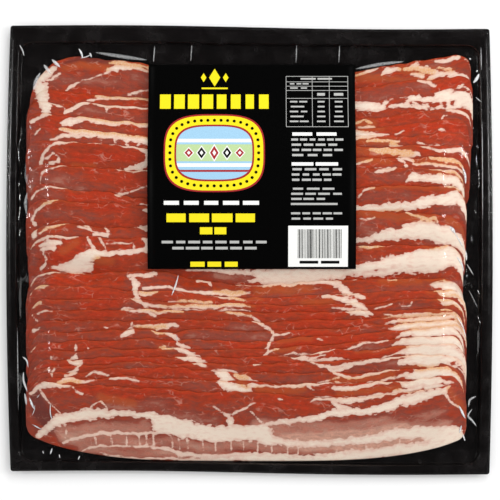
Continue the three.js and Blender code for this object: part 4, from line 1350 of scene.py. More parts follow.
        FAT.along((84, 3.4, 3), (92, 2.4, 7), (100, 3, 8.6), (108, 3.6, 8.4), (114, 3, 8), (118, 4, 4)),
        FAT.along((118, 2, 1.2), (119.5, 5, 1.2), (117, 7, 1.2), (104, 7, 1)),
        LEAN.along((104, 7, 1.2), (109, 6, 2.2), (115, 5, 2.6)),
        SMOKE.along((85, 7, 1.5), (110, 6.8, 1.3)),
        FAT.along((2, 0.5, 0.8), (6, 0.5, 0.6)),
        BRIGHT.along((2, 3, 5), (28, 2, 4)),
        DULL.along((60, 4.5, 4), (84, 4, 4)),
        DULL.along((-68, 3, 3), (-58, 4, 2)),
    ),
    Cut.showing(
        (-69.0, -66.1, -69.0, -69.0, -65.6),
        FAT.along((-112, 0, 1), (-111, 2, 1)),
        FAT.along((-104, 2, 1.5), (-100, 0.5, 2.2), (-95, -1, 1)),
        FAT.along((-92, 2.5, 1), (-88, 1, 1.5), (-84, 2, 1.5), (-80, 4, 1)),
        FAT.along((-20, -1, 3), (-15, 2, 6), (-12, 6, 8)),
        FAT.along((-8, 1.5, 3), (-3, 3.5, 3.5), (1, 5, 2), (4, 4.5, 1)),
        SMOKE.along((-8, 1, 3), (-3, 3, 4)),
        FAT.along((46, -1, 1.2), (48, 1, 1.5), (56, 2.5, 1.5), (66, 1.5, 1.6), (76, 0, 2), (84, -0.5, 1.5)),
        FAT.along((38, 6, 1), (44, 4.5, 1), (50, 3, 1.2)),
        FAT.along((48, 6, 1.2), (60, 6.5, 1.6), (72, 6, 1.8), (80, 4.5, 1.8), (88, 3, 2.5)),
        FAT.along((88, 5, 2), (94, 3.5, 6.4), (102, 3.4, 8), (110, 4.2, 7.6), (115, 6.5, 4)),
        SMOKE.along((94, 0, 2.4), (104, -0.2, 2.4), (113, 2, 2.4), (117, 5, 2)),
        FAT.along((118, 1, 1.2), (121, 0, 1)),
        BRIGHT.along((-60, 3, 5), (-30, 2, 4)),
        DULL.along((4, 2, 4), (30, 3, 5)),
        SMOKE.along((46, 4.5, 2.6), (80, 2.5, 2.6)),
    ),
    Cut.showing(
        (-71.8, -71.8, -74.1, -75.2, -71.3),
        FAT.along((-122, 4.5, 2.5), (-120, 0, 1.5)),
        FAT.along((-117, 6, 2), (-110, 4, 2), (-103, 1, 3.5), (-98, 1.5, 2.5), (-92, 2, 1), (-88, 1, 0.8)),
        SMOKE.along((-108, 3, 2), (-96, 2, 2.4)),
        FAT.along((-79, 1, 1), (-76, 1, 2.5), (-72, 1.5, 1.5), (-62, 2.5, 0.6)),
        FAT.along((-17, 0, 4), (-12, 3, 6), (-6, 5.5, 6), (0, 5.5, 3)),
        LEAN.along((-5, 0.8, 3), (-3, 2.4, 1.6)),
        SMOKE.along((-6, 1, 3), (-2, 3, 3)),
        FAT.along((0, 3, 2.5), (8, 1.8, 1.6), (20, 1.2, 1.6), (30, 1, 2), (36, 0, 2)),
        FAT.along((32, 1.5, 1.5), (36, 4, 1.2)),
        FAT.along((36, 1, 1), (44, 0, 1.2), (50, -1, 1)),
        FAT.along((47, 3, 2), (54, 3.2, 3), (62, 2.5, 2.2), (72, 0.5, 2.2), (82, -0.5, 2), (90, -0.5, 3)),
        FAT.along((36, 8, 1.5), (50, 9, 1.5), (64, 8.5, 1.8), (76, 7.5, 2), (86, 5.5, 3), (96, 4, 4)),
        FAT.along((86, 2, 3), (95, 1.4, 6.4), (102, 2.2, 6), (108, 3, 3.4)),
        FAT.along((95, 4, 2), (104, 3, 1.2), (110, 3.5, 2), (115, 5, 1.5)),
        FAT.along((100, 5.5, 4), (110, 6.5, 3)),
        BRIGHT.along((-60, 3, 6), (-40, 5, 5)),
        DULL.along((-50, 4, 5), (-20, 3, 5)),
        SMOKE.along((4, 4.6, 3), (30, 3.6, 3)),
        SMOKE.along((50, 6, 2.4), (84, 3.5, 2.4)),
    ),
    Cut.showing(
        (-74.7, -78.1, -80.4, -83.2, -77.0),
        FAT.along((-125, 8.5, 1.2), (-119.5, 4, 3), (-113.5, 1.2, 4), (-107, 0.5, 3), (-101, -0.5, 2.4)),
        SMOKE.along((-110, -1, 1.5), (-103, -1, 1.5)),
        FAT.along((-99.5, 1, 1.2), (-97, 3.5, 1), (-94, 5.5, 1)),
        FAT.along((-98, -1, 1), (-90, -1, 1.5)),
        FAT.along((-119, 5, 1.6), (-116, 9, 1.4), (-112.5, 12.5, 0.7), (-107, 17, 0.9)),
        FAT.along(
            (-120, 32, 3.6), (-113.5, 25.4, 4.2), (-107, 20.4, 6.6), (-99, 18, 6.2), (-91, 16.7, 7.2),
            (-80, 16, 4.4), (-70, 15, 3.4), (-62, 15.4, 3.7), (-55, 16.2, 5), (-49.8, 20.9, 12),
            (-42, 21.4, 11.6), (-32, 22.8, 10.4), (-19.8, 24.4, 9.2), (-7, 24, 10), (3, 23.5, 10),
            (7, 23.5, 11),
        ),
        FAT.along((-91, 15, 1), (-89, 11, 1), (-84, 9.5, 0.8), (-80.5, 12, 1), (-81, 15, 1)),
        FAT.along(
            (-106, 34, 1.5), (-100, 31, 1.8), (-90, 28.7, 1.8), (-79, 27.3, 1.8), (-62, 26.4, 1.8),
            (-52, 26, 1.5),
        ),
        FAT.along((-104, 26, 1), (-105, 31, 1)),
        FAT.along(
            (-96, 39, 1), (-90, 36, 1.2), (-79, 35, 1), (-62, 34, 1.2), (-52, 35, 1.8), (-40, 37, 3),
            (-20, 37.5, 2.5), (0, 36.5, 2.5),
        ),
        FAT.along(
            (-86, 40, 1), (-78, 41, 1.6), (-60, 41.5, 1.4), (-44, 41, 1.6), (-30, 40, 2.5),
            (-15, 39.5, 3.5), (0, 38.5, 4),
        ),
        FAT.along((-20.5, 8, 0.8), (-16, 11.5, 1), (-12, 14, 2.5), (-11, 18, 4)),
        FAT.along((3, 6, 0.8), (-5, 10.5, 1), (-10, 13.5, 1.8)),
        FAT.along((0, 11, 0.8), (4, 14.5, 0.8), (7, 18, 1.5)),
        FAT.along(
            (9.5, 18, 1.6), (27, 13.4, 3.2), (36, 12, 4), (46, 9.2, 4.8), (58, 7.8, 5), (64, 8, 5),
            (74, 7.6, 5.8), (85, 5, 6), (94, 3.9, 6.8), (103, 2.7, 5.6), (110, 2.5, 4),
        ),
        FAT.along((34, 2.5, 0.8), (38, 0.8, 1.4), (46, 0.8, 1.4), (47, 3, 1.6), (50, 5.5, 3), (54, 6, 3)),
        FAT.along((44, 1, 1.2), (56, 2, 4), (66, 0.5, 3), (80, -1, 3), (100, -1, 2.4)),
        LEAN.along((55, 6, 1), (66, 4.5, 3.4), (76, 2.5, 3.4), (88, 0.5, 1.2)),
        FAT.along(
            (10, 27, 9), (14.5, 27.5, 4.4), (33, 27.3, 3.8), (45, 26.6, 4.2), (64, 25.2, 5.2),
            (85, 23.8, 7), (97, 24.4, 8), (104, 27, 10), (109, 29.5, 12), (116, 30.5, 12),
        ),
        FAT.along(
            (0, 39, 6), (20, 37.4, 6.4), (45, 35.8, 6.6), (64, 34.2, 7), (85, 33.8, 7.2), (97, 34.4, 8),
            (110, 35, 10),
        ),
        FAT.along((16, 3, 1.2), (18, 3.2, 0.8)),
        FAT.along((112, 1, 2), (110, 5, 1.2), (113, 10, 1), (118, 14, 0.8)),
        SMOKE.along((112, 2, 2), (118, 12, 2)),
        BRIGHT.along((-96, 3, 6), (-60, 3, 6)),
        BRIGHT.along((-60, 0, 4), (-14, 3, 6)),
        BRIGHT.along((6, 4, 8), (30, 5, 10)),
        BRIGHT.along((85, 17, 5), (112, 17, 5)),
        PALE.along((-108, 27, 7), (-60, 23, 8)),
        PALE.along((-106, 32, 6), (0, 31, 6), (100, 30, 6)),
        # Painted shade: this pale streak along the foot stands for the shade and film haze there.
        PALE.along((-96, 38, 5), (-10, 38, 5)),
        # Painted shade: the dark maroon at the left end, where the film presses the rasher down.
        DARK.along((-122, 8, 6), (-118, 18, 11), (-114, 25, 8)),
        SMOKE.along((-84, 7, 4), (-66, 9, 4)),
        *(FAT.along((x, 27.5, 0.9), (x + 0.5, 34, 0.8)) for x in STRIP_WALLS),
        PALE.along((6, 21, 12), (60, 19, 12), (108, 17, 8)),
        PALE.along((24, 24, 3), (60, 21, 3), (88, 19, 3)),
        DULL.along((-80, 11, 6), (-50, 12, 7)),
        DULL.along((-45, 15, 6), (-20, 16, 6)),
        PALE.along((112, 22, 4), (96, 24, 6), (60, 25, 8), (20, 27, 6)),
        PALE.along((112, 26, 4), (90, 27, 5), (50, 29, 5)),
        FAT.along((12, 20, 0.8), (14, 22, 0.8)),
    ),
)


@dataclass(frozen=True)
class Shingles:
    """All the rashers of the pack, from the first laid to the last."""

    pile: Pile = field(default_factory=Pile)
    cuts: tuple[Cut, ...] = RASHERS
    hidden_allowance: float = 3.0

    def rashers(self) -> list[Rasher]:
        """Work out each rasher's place in the pile."""
        pile = self.pile
        middles = [cut.edge[2] for cut in self.cuts]
        tops = [pile.level(middle, middles[0]) for middle in middles]
        made = []
        for i, (cut, middle) in enumerate(zip(self.cuts, middles)):
            rest = tops[i - 1] + pile.gap / (1 - pile.end_drop) if i else pile.floor / (1 - pile.end_drop)
            towards_top = float(share_between(middle, *pile.upper_range))
            right = pile.right_end + (pile.right_end_top - pile.right_end) * towards_top
            droop = float(share_between(middle, *pile.corner_range))
            corner = tuple(a + (b - a) * droop for a, b in zip(pile.first_corner, pile.last_corner))
            following = self.cuts[i + 1].edge if i + 1 < len(self.cuts) else None
            showing = pile.last_showing
            if following:
                showing = max(a - b for a, b in zip(cut.edge, following)) + self.hidden_allowance
            made.append(
                Rasher(
                    number=i + 1,
                    pile=pile,
                    edge=cut.edge,
                    top=tops[i],
                    under=max(rest, tops[i] - pile.thickest),
                    left=pile.left_end + pile.end_jitter * math.sin(2.1 * i),
                    right=right + pile.end_jitter * math.sin(1.7 * i),
                    streaks=cut.streaks,
                    blush=pile.blush + pile.blush_jitter * math.sin(2.7 * i),
                    showing=showing,
                    corner=corner,
                    left_corner=pile.first_left_corners[i] if i < len(pile.first_left_corners) else corner,
                    beneath=made[-1] if made else None,
                    above=following,
                )
            )
        return made


@dataclass(frozen=True)
class FormedTray:
    """The black web: a flat flange round a shallow cavity with a filleted wall."""

    web: SoftWeb
    wall: float = 0.6
    draft: float = 0.8
    fillet: float = 1.0
    cut_round: float = 0.05
    lip_width: float = 1.2
    lip_drop: float = 0.25
    per_side: int = 70
    per_corner: int = 8
    fillet_steps: int = 5

    def build(self, finish: bpy.types.Material) -> bpy.types.Object:
        """Make the tray's mesh from rings, from its underside over the flange to its floor."""
        cavity, pack, flange = self.web.cavity, self.web.pack, self.web.flange_height
        rings = [
            *self.wall_rings(0.0, 0.0),
            (cavity, flange - self.wall),
            (pack.inset(self.cut_round), flange - self.wall),
            (pack, flange - self.wall / 2),
            (pack.inset(self.cut_round), flange),
            (cavity.inset(self.wall - self.lip_width), flange),
            (cavity.inset(self.wall), flange - self.lip_drop),
            *reversed(self.wall_rings(self.wall, self.wall)),
        ]
        loops = []
        for outline, height in rings:
            x, y = self.web.bowed(*outline.ring(self.per_side, self.per_corner).T)
            loops.append(np.stack([x, y, np.full(len(x), height)], -1))
        count = len(loops[0])
        points = np.concatenate([*loops, loops[0].mean(0)[None], loops[-1].mean(0)[None]])
        faces = []
        for ring in range(len(loops) - 1):
            start = ring * count + np.arange(count)
            onward = ring * count + (np.arange(count) + 1) % count
            faces += np.stack([start, onward, onward + count, start + count], -1).tolist()
        first, last = len(loops) * count, (len(loops) - 1) * count
        for i in range(count):
            onward = (i + 1) % count
            faces.append([first, onward, i])
            faces.append([first + 1, last + i, last + onward])
        mesh = bpy.data.meshes.new("tray")
        mesh.from_pydata((points * MM).tolist(), [], faces)
        mesh.materials.append(finish)
        mesh.polygons.foreach_set("use_smooth", np.ones(len(faces), bool))
        mesh.update()
        made = bpy.data.objects.new("formed_tray", mesh)
        bpy.context.scene.collection.objects.link(made)
        return made

    def wall_rings(self, lift: float, inward: float) -> list[tuple[Outline, float]]:
        """Give the rings of the fillet between floor and wall, from the floor up."""
        rings = []
        for step in range(self.fillet_steps + 1):
            turn = math.pi / 2 * step / self.fillet_steps
            distance = self.draft + self.fillet * (1 - math.sin(turn)) + inward
            rings.append((self.web.cavity.inset(distance), lift + self.fillet * (1 - math.cos(turn))))
        return rings


@dataclass
class VacuumFilm:
    """The clear film: it clings to the rashers, spans the gap to the flange and is sealed to it."""

    web: SoftWeb
    rashers: list[Rasher]
    step: float = 1.3
    thickness: float = 0.12
    slack: float = 0.3
    cling_slope: float = 0.7
    tent_passes: int = 14
    soften_passes: int = 3
    seal_gap: float = 0.06
    seal_slope: float = 3.2
    pucker_height: float = 0.5
    pucker_reach: float = 6.0
    x: Array = field(init=False)
    y: Array = field(init=False)
    under: Array = field(init=False)

    def __post_init__(self) -> None:
        """Work out the film's heights over a grid."""
        pack = self.web.pack
        columns = int((pack.right - pack.left) / self.step) + 1
        rows = int((pack.top - pack.bottom) / self.step) + 1
        self.x, self.y = self.web.bowed(*pack.grid(columns, rows))
        self.under = self.drawn(self.pile_tops(self.x, self.y))

    def pile_tops(self, x: Array, y: Array) -> Array:
        """Give the height of whichever rasher lies on top at each point, or zero beside the pile."""
        tops = np.zeros(x.shape)
        for rasher in self.rashers:
            edge = rasher.exposed_edge(x)
            covered = (y <= edge) & (y >= rasher.lower_edge(x)) & (x >= rasher.left) & (x <= rasher.right)
            height = rasher.height(x, y)
            tops = np.where(covered, np.maximum(tops, height), tops)
        return tops

    def drawn(self, tops: Array) -> Array:
        """Draw the film down over the pile: it spans hollows like a tent, and meets the flange outside."""
        drawn = tops.copy()
        for _ in range(self.tent_passes):
            for axis in (0, 1):
                for shift in (-1, 1):
                    drawn = np.maximum(drawn, np.roll(drawn, shift, axis) - self.cling_slope * self.step)
        soft = drawn.copy()
        for _ in range(self.soften_passes):
            padded = np.pad(soft, 1, mode="edge")
            beside = padded[:-2, 1:-1] + padded[2:, 1:-1] + padded[1:-1, :-2] + padded[1:-1, 2:]
            soft = (beside + 2 * padded[1:-1, 1:-1]) / 6
        drawn = np.maximum(soft, tops) + self.slack
        flange = self.web.flange_height + self.seal_gap
        cavity = self.web.cavity
        inside = np.minimum(
            np.minimum(self.x - cavity.left, cavity.right - self.x),
            np.minimum(self.y - cavity.bottom, cavity.top - self.y),
        )
        over_cavity = np.maximum(drawn, flange) + self.puckers(inside)
        sloped = flange + self.seal_slope * np.maximum(inside, 0)
        return np.where(inside > 0, np.minimum(over_cavity, sloped), flange)

    def puckers(self, inside: Array) -> Array:
        """Give small creases that run in from the seal, and fade over the pile."""
        band = np.exp(-((inside / self.pucker_reach - 1) ** 2))
        crease = np.maximum(Ripples(31, 7, 7, 14).at(self.x, self.y) - 0.55, 0)
        return self.pucker_height * band * crease

    def build(self, finish: bpy.types.Material) -> bpy.types.Object:
        """Make the film's mesh."""
        shell = Shell()
        shell.add_slab(self.x, self.y, self.under + self.thickness, self.under)
        return shell.make("vacuum_film", finish)

    def top_at(self, x: Array, y: Array) -> Array:
        """Give the height of the film's outer face at points inside the cavity."""
        pack = self.web.pack
        columns, rows = self.x.shape
        column = np.clip((x - pack.left) / (pack.right - pack.left) * (columns - 1), 0, columns - 1.001)
        row = np.clip((y - pack.bottom) / (pack.top - pack.bottom) * (rows - 1), 0, rows - 1.001)
        i, j = column.astype(int), row.astype(int)
        s, t = column - i, row - j
        low = self.under[i, j] * (1 - s) + self.under[i + 1, j] * s
        high = self.under[i, j + 1] * (1 - s) + self.under[i + 1, j + 1] * s
        return low * (1 - t) + high * t + self.thickness


@dataclass(frozen=True)
class Crease:
    """One crease in the film: the share of it painted white as a glint, its width, and a spine of places (X,
    Y) in millimetres.
    """

    milk: float
    width: float
    spine: tuple[tuple[float, float], ...]


# The creases, with their glints painted white: the upper left, the head, the left side and foot, the middle
# and the right.
CREASES: tuple[Crease, ...] = (
    Crease(0.55, 0.9, ((-131.3, 116.9), (-129.6, 113.6), (-128.7, 110.6))),
    Crease(0.55, 2.2, ((-112.9, 108.6), (-110.6, 106.4), (-108.2, 104.2))),
    Crease(0.4, 2.2, ((-117.6, 105.6), (-115.6, 103.2), (-113.6, 100.6))),
    Crease(0.3, 2.4, ((-119.6, 101.0), (-121.8, 96.6), (-123.4, 91.0))),
    Crease(0.35, 1.6, ((-125.4, 74.0), (-125.2, 70.4), (-124.2, 68.6))),
    Crease(0.2, 2.6, ((-127.2, 50.0), (-127.4, 43.4), (-126.8, 37.4))),
    Crease(0.3, 2.2, ((-126.6, 33.0), (-127.8, 27.4), (-127.2, 20.4))),
    Crease(0.9, 1.3, ((-97.6, 114.8), (-96.0, 112.0), (-95.4, 109.4))),
    Crease(0.8, 0.7, ((-96.5, 109.4), (-93.0, 110.2), (-90.2, 111.7))),
    Crease(0.6, 1.3, ((-91.4, 112.4), (-90.2, 109.8))),
    Crease(0.2, 2.4, ((-88.0, 112.6), (-74.0, 110.4), (-58.9, 108.3))),
    Crease(0.3, 0.8, ((-54.3, 116.5), (-55.0, 107.0))),
    Crease(0.25, 0.7, ((-33.2, 116.8), (-33.8, 107.5))),
    Crease(0.25, 0.7, ((26.6, 116.8), (26.2, 106.5))),
    Crease(0.3, 0.7, ((51.1, 116.5), (50.6, 106.6))),
    Crease(0.2, 2.2, ((60.2, 103.2), (74.0, 105.8), (87.6, 107.4))),
    Crease(0.35, 0.6, ((-132.6, -44.5), (-132.3, -68.0), (-132.0, -91.0))),
    Crease(0.9, 1.2, ((-129.6, -60.8), (-127.3, -62.4), (-126.0, -66.7))),
    Crease(0.9, 1.5, ((-128.9, -69.5), (-128.7, -74.1), (-127.6, -77.0), (-126.4, -80.4))),
    Crease(0.7, 1.7, ((-128.1, -81.5), (-127.4, -84.5), (-127.0, -88.4))),
    Crease(1.0, 1.6, ((-125.2, -83.8), (-123.3, -88.4), (-122.3, -90.2))),
    Crease(0.8, 0.6, ((-121.9, -87.8), (-122.4, -91.0), (-123.9, -94.1))),
    Crease(0.7, 0.5, ((-120.7, -83.8), (-118.7, -81.5))),
    Crease(0.85, 0.7, ((-112.5, -86.6), (-112.7, -92.3), (-111.9, -96.3))),
    Crease(0.6, 0.9, ((-123.9, -99.2), (-118.2, -102.0))),
    Crease(0.6, 0.8, ((-118.2, -114.4), (-117.6, -116.0))),
    Crease(0.8, 0.9, ((-113.8, -116.4), (-112.7, -112.9))),
    Crease(0.6, 0.7, ((-108.8, -116.4), (-108.3, -118.6))),
    Crease(0.7, 0.9, ((-97.9, -119.6), (-97.0, -117.2))),
    Crease(0.85, 1.0, ((-40.5, -14.2), (-41.8, -19.5), (-44.0, -25.6))),
    Crease(0.6, 0.6, ((-41.2, -47.6), (-41.0, -52.0))),
    Crease(0.6, 1.2, ((124.9, 109.3), (126.0, 108.6))),
    Crease(0.6, 1.1, ((129.0, 101.4), (129.8, 102.5))),
    Crease(0.85, 2.0, ((127.3, 95.2), (129.2, 97.6), (130.5, 100.4))),
    Crease(0.5, 0.7, ((128.7, 87.0), (131.5, 84.6))),
    Crease(0.35, 0.6, ((131.6, 115.7), (131.9, 102.6))),
    Crease(0.3, 0.6, ((132.4, 73.5), (132.6, 17.0))),
    Crease(0.95, 1.5, ((120.1, 47.2), (121.9, 43.2), (122.4, 37.5))),
    Crease(0.95, 2.6, ((112.6, 13.4), (114.4, 11.6), (116.2, 9.6))),
    Crease(0.8, 1.1, ((115.6, 10.2), (119.0, 5.2), (121.0, 1.6))),
    Crease(0.9, 1.4, ((121.4, 1.4), (123.0, -2.4), (123.4, -6.0))),
    Crease(0.85, 1.5, ((117.6, -3.8), (120.2, -7.6), (121.8, -12.2))),
    Crease(0.5, 0.6, ((123.6, -8.0), (127.4, -14.3))),
    Crease(0.7, 1.0, ((116.7, -37.0), (120.0, -42.5), (122.4, -49.6))),
    Crease(0.25, 0.6, ((124.5, -23.0), (129.8, -33.0))),
    Crease(0.4, 1.6, ((128.8, -83.4), (125.2, -85.3), (124.2, -89.3))),
    Crease(0.4, 1.4, ((126.5, -90.6), (124.2, -94.5), (126.5, -97.1), (129.1, -100.4))),
    Crease(0.95, 1.5, ((118.6, -88.3), (120.4, -92.0), (122.4, -95.8))),
    Crease(0.85, 1.3, ((120.3, -99.8), (119.3, -104.3))),
    Crease(0.8, 1.0, ((121.2, -104.9), (122.6, -108.9))),
)


@dataclass
class FilmCreases:
    """The film's creases: narrow ridges that taper to both ends, painted white along their middles as glints.
    """

    film: VacuumFilm
    creases: tuple[Crease, ...] = CREASES
    along_mm: float = 0.5
    across: int = 7
    rise_share: float = 0.35
    most_rise: float = 0.5
    skin: float = 0.06
    sunk: float = 0.02

    def build(self, finish: bpy.types.Material) -> bpy.types.Object:
        """Make all the creases as one piece."""
        shell = Shell()
        for crease in self.creases:
            corners = np.array(crease.spine)
            lengths = np.concatenate([[0.0], np.cumsum(np.hypot(*np.diff(corners, axis=0).T))])
            share = np.linspace(0, 1, max(8, int(lengths[-1] / self.along_mm)))
            x, y = (curve_through(tuple(lengths), tuple(side), share * lengths[-1]) for side in corners.T)
            headed = np.stack([np.gradient(x), np.gradient(y)])
            headed /= np.hypot(*headed)
            taper = np.maximum(np.sin(math.pi * share), 0.02) ** 0.6
            side = np.linspace(-1, 1, self.across)[None, :]
            reach = 0.5 * crease.width * taper[:, None] * side
            grid_x = x[:, None] - headed[1][:, None] * reach
            grid_y = y[:, None] + headed[0][:, None] * reach
            rise = self.rise_share * crease.width * taper[:, None] * np.cos(0.5 * math.pi * side) ** 2
            under = self.film.top_at(grid_x, grid_y) - self.sunk
            top = under + self.skin + np.minimum(rise, self.most_rise)
            # Painted highlight: the white glint fades from each ridge's spine to its sides.
            shell.add_slab(grid_x, grid_y, top, under, milk=crease.milk * np.sqrt(1 - side**2))
        return shell.make("film_crease_painted_glints", finish)


@dataclass
class PrintedLabel:
    """The square black label on the film: stiff paper that bends along one way only."""

    film: VacuumFilm
    outline: Outline = Outline(-57.7, 59.7, -10.8, 105.4, 1.2)
    thickness: float = 0.16
    clearance: float = 0.05
    columns: int = 24
    rows: int = 90
    stiffness_passes: int = 160

    def profile(self) -> tuple[Array, Array]:
        """Give the label's height along Y: it is stiff across, and bridges the hollows between rashers."""
        x, y = self.outline.grid(self.rows, self.rows)
        highest = self.film.top_at(x, y).max(0)
        eased = highest.copy()
        for _ in range(self.stiffness_passes):
            padded = np.pad(eased, 1, mode="reflect", reflect_type="odd")
            eased = 0.25 * padded[:-2] + 0.5 * padded[1:-1] + 0.25 * padded[2:]
        return y[0], eased + max(0.0, float((highest - eased).max())) + self.clearance

    def under_at(self, y: Array) -> Array:
        """Give the height of the label's underside."""
        return np.interp(y, *self.profile())

    def top_at(self, y: Array) -> Array:
        """Give the height of the label's printed face."""
        return self.under_at(y) + self.thickness

    def build(self, finish: bpy.types.Material) -> bpy.types.Object:
        """Make the label's mesh."""
        x, y = self.outline.grid(self.columns, self.rows)
        shell = Shell()
        shell.add_slab(x, y, self.top_at(y), self.under_at(y))
        return shell.make("printed_label", finish)


class Ink(Enum):
    """The inks of the label, with their colours."""

    YELLOW = "f6e400"
    WHITE = "f6f6f2"
    GREY = "b9b9b6"
    RED = "a81e22"
    SKY = "a0cce8"
    GREEN = "bcd69c"
    BLACK = "060606"


@dataclass
class BarRow:
    """A Geometry Nodes tree that makes a row of printed bars of random widths."""

    tree: bpy.types.NodeTree = field(init=False)
    inputs: dict[str, str] = field(init=False)

    def __post_init__(self) -> None:
        """Build the tree."""
        self.tree = bpy.data.node_groups.new("row_of_printed_bars", "GeometryNodeTree")
        sockets = (
            ("Count", "NodeSocketInt"),
            ("Pitch", "NodeSocketFloat"),
            ("Least", "NodeSocketFloat"),
            ("Most", "NodeSocketFloat"),
            ("Height", "NodeSocketFloat"),
            ("Thickness", "NodeSocketFloat"),
            ("Seed", "NodeSocketInt"),
            ("Material", "NodeSocketMaterial"),
        )
        face = self.tree.interface
        self.inputs = {}
        for name, kind in sockets:
            socket = face.new_socket(name=name, in_out="INPUT", socket_type=kind)
            self.inputs[name] = socket.identifier
        face.new_socket(name="Geometry", in_out="OUTPUT", socket_type="NodeSocketGeometry")
        add = partial(add_node, self.tree)
        given = add("NodeGroupInput").outputs
        pitch = add("ShaderNodeCombineXYZ", X=given["Pitch"])
        places = add("GeometryNodeMeshLine", Count=given["Count"], Offset=pitch)
        bar = add("GeometryNodeMeshCube", Size=(1.0, 1.0, 1.0), Vertices_Y=9)
        width = add("FunctionNodeRandomValue", _2=given["Least"], _3=given["Most"], Seed=given["Seed"])
        scale = add("ShaderNodeCombineXYZ", X=width.outputs[1], Y=given["Height"], Z=given["Thickness"])
        row = add("GeometryNodeInstanceOnPoints", Points=places, Instance=bar, Scale=scale)
        real = add("GeometryNodeRealizeInstances", Geometry=row)
        dressed = add("GeometryNodeSetMaterial", Geometry=real, Material=given["Material"])
        add("NodeGroupOutput", Geometry=dressed)

    def mesh(self, **values: object) -> bpy.types.Mesh:
        """Make one row as a plain mesh.

        Args:
            **values: A value for each input of the tree, in millimetres where it is a length.

        Returns:
            The mesh. Its first bar stands at the origin, and the row runs along X.
        """
        carrier = bpy.data.objects.new("bar_row", bpy.data.meshes.new("bar_row"))
        bpy.context.scene.collection.objects.link(carrier)
        modifier = carrier.modifiers.new("bars", "NODES")
        modifier.node_group = self.tree
        for name, value in values.items():
            modifier[self.inputs[name]] = value
        graph = bpy.context.evaluated_depsgraph_get()
        mesh = bpy.data.meshes.new_from_object(carrier.evaluated_get(graph))
        carrier.modifiers.remove(modifier)
        bpy.data.objects.remove(carrier)
        return mesh


@dataclass(frozen=True)
class Bars:
    """One row of plain bars on the label, with its sides in the photo's pixels.

    Each bar fills a random share of its step in the row, between the two values of fill.
    """

    ink: Ink
    left: float
    right: float
    top: float
    bottom: float
    count: int
    fill: tuple[float, float] = (0.6, 0.9)


# Tops of the small table's lower rows, in the photo's pixels.
TABLE_ROWS = (101.5, 106.5, 111.5, 116.5, 121.5)

# The rows of plain bars: the wide column, the small table, the right column and the bar code.
BAR_ROWS: tuple[Bars, ...] = (
    Bars(Ink.YELLOW, 159, 271, 95, 109.5, 8, (0.55, 0.8)),
    Bars(Ink.WHITE, 163, 261, 201.5, 205.5, 5, (0.7, 0.92)),
    Bars(Ink.YELLOW, 166, 257, 214, 222.5, 4, (0.8, 0.93)),
    Bars(Ink.YELLOW, 200, 228, 227.5, 234.5, 2, (0.7, 0.9)),
    Bars(Ink.GREY, 162, 268, 240.8, 243.4, 8, (0.65, 0.92)),
    Bars(Ink.GREY, 172, 258, 246.8, 249.4, 6, (0.65, 0.92)),
    Bars(Ink.YELLOW, 190, 240, 261.5, 266.5, 3, (0.7, 0.92)),
    Bars(Ink.GREY, 300, 333, 78.3, 80.0, 2, (0.8, 0.95)),
    Bars(Ink.GREY, 289, 309, 83.5, 84.9, 3),
    Bars(Ink.GREY, 289, 309, 87.8, 89.2, 2),
    *(
        Bars(Ink.GREY, 289, right, top, top + 1.6, count)
        for top, right, count in zip(TABLE_ROWS, (308, 306, 309, 305, 309), (2, 1, 2, 1, 2))
    ),
    Bars(Ink.GREY, 315, 327, 93.5, 96.2, 1),
    Bars(Ink.GREY, 332, 345, 93.5, 96.2, 1),
    *(Bars(Ink.GREY, 316, 326, top, top + 1.6, 1) for top in TABLE_ROWS),
    *(Bars(Ink.GREY, 333, 344, top, top + 1.6, 1) for top in TABLE_ROWS),
    Bars(Ink.WHITE, 290, 338, 133.5, 136.8, 2, (0.82, 0.95)),
    Bars(Ink.GREY, 290, 343, 139.6, 141.8, 6),
    Bars(Ink.GREY, 290, 338, 144.8, 147.0, 4),
    Bars(Ink.GREY, 290, 343, 150.0, 152.2, 5),
    Bars(Ink.GREY, 290, 334, 155.2, 157.4, 3),
    Bars(Ink.WHITE, 290, 338, 163.5, 166.8, 2, (0.82, 0.95)),
    Bars(Ink.GREY, 290, 343, 169.3, 171.5, 4),
    Bars(Ink.GREY, 290, 341, 174.5, 176.7, 5),
    Bars(Ink.GREY, 290, 332, 179.7, 181.9, 4),
    Bars(Ink.GREY, 290, 335, 188.6, 190.6, 3),
    Bars(Ink.GREY, 290, 343, 193.6, 195.6, 4),
    Bars(Ink.GREY, 290, 326, 198.6, 200.6, 3),
    Bars(Ink.GREY, 290, 337, 203.6, 205.6, 1, (0.9, 0.98)),
    Bars(Ink.GREY, 290, 342, 212.8, 214.8, 5),
    Bars(Ink.GREY, 290, 334, 218.0, 220.0, 4),
    Bars(Ink.BLACK, 297, 341, 229.5, 258, 29, (0.25, 0.75)),
    Bars(Ink.BLACK, 298, 340, 260.6, 263.4, 2, (0.86, 0.92)),
)


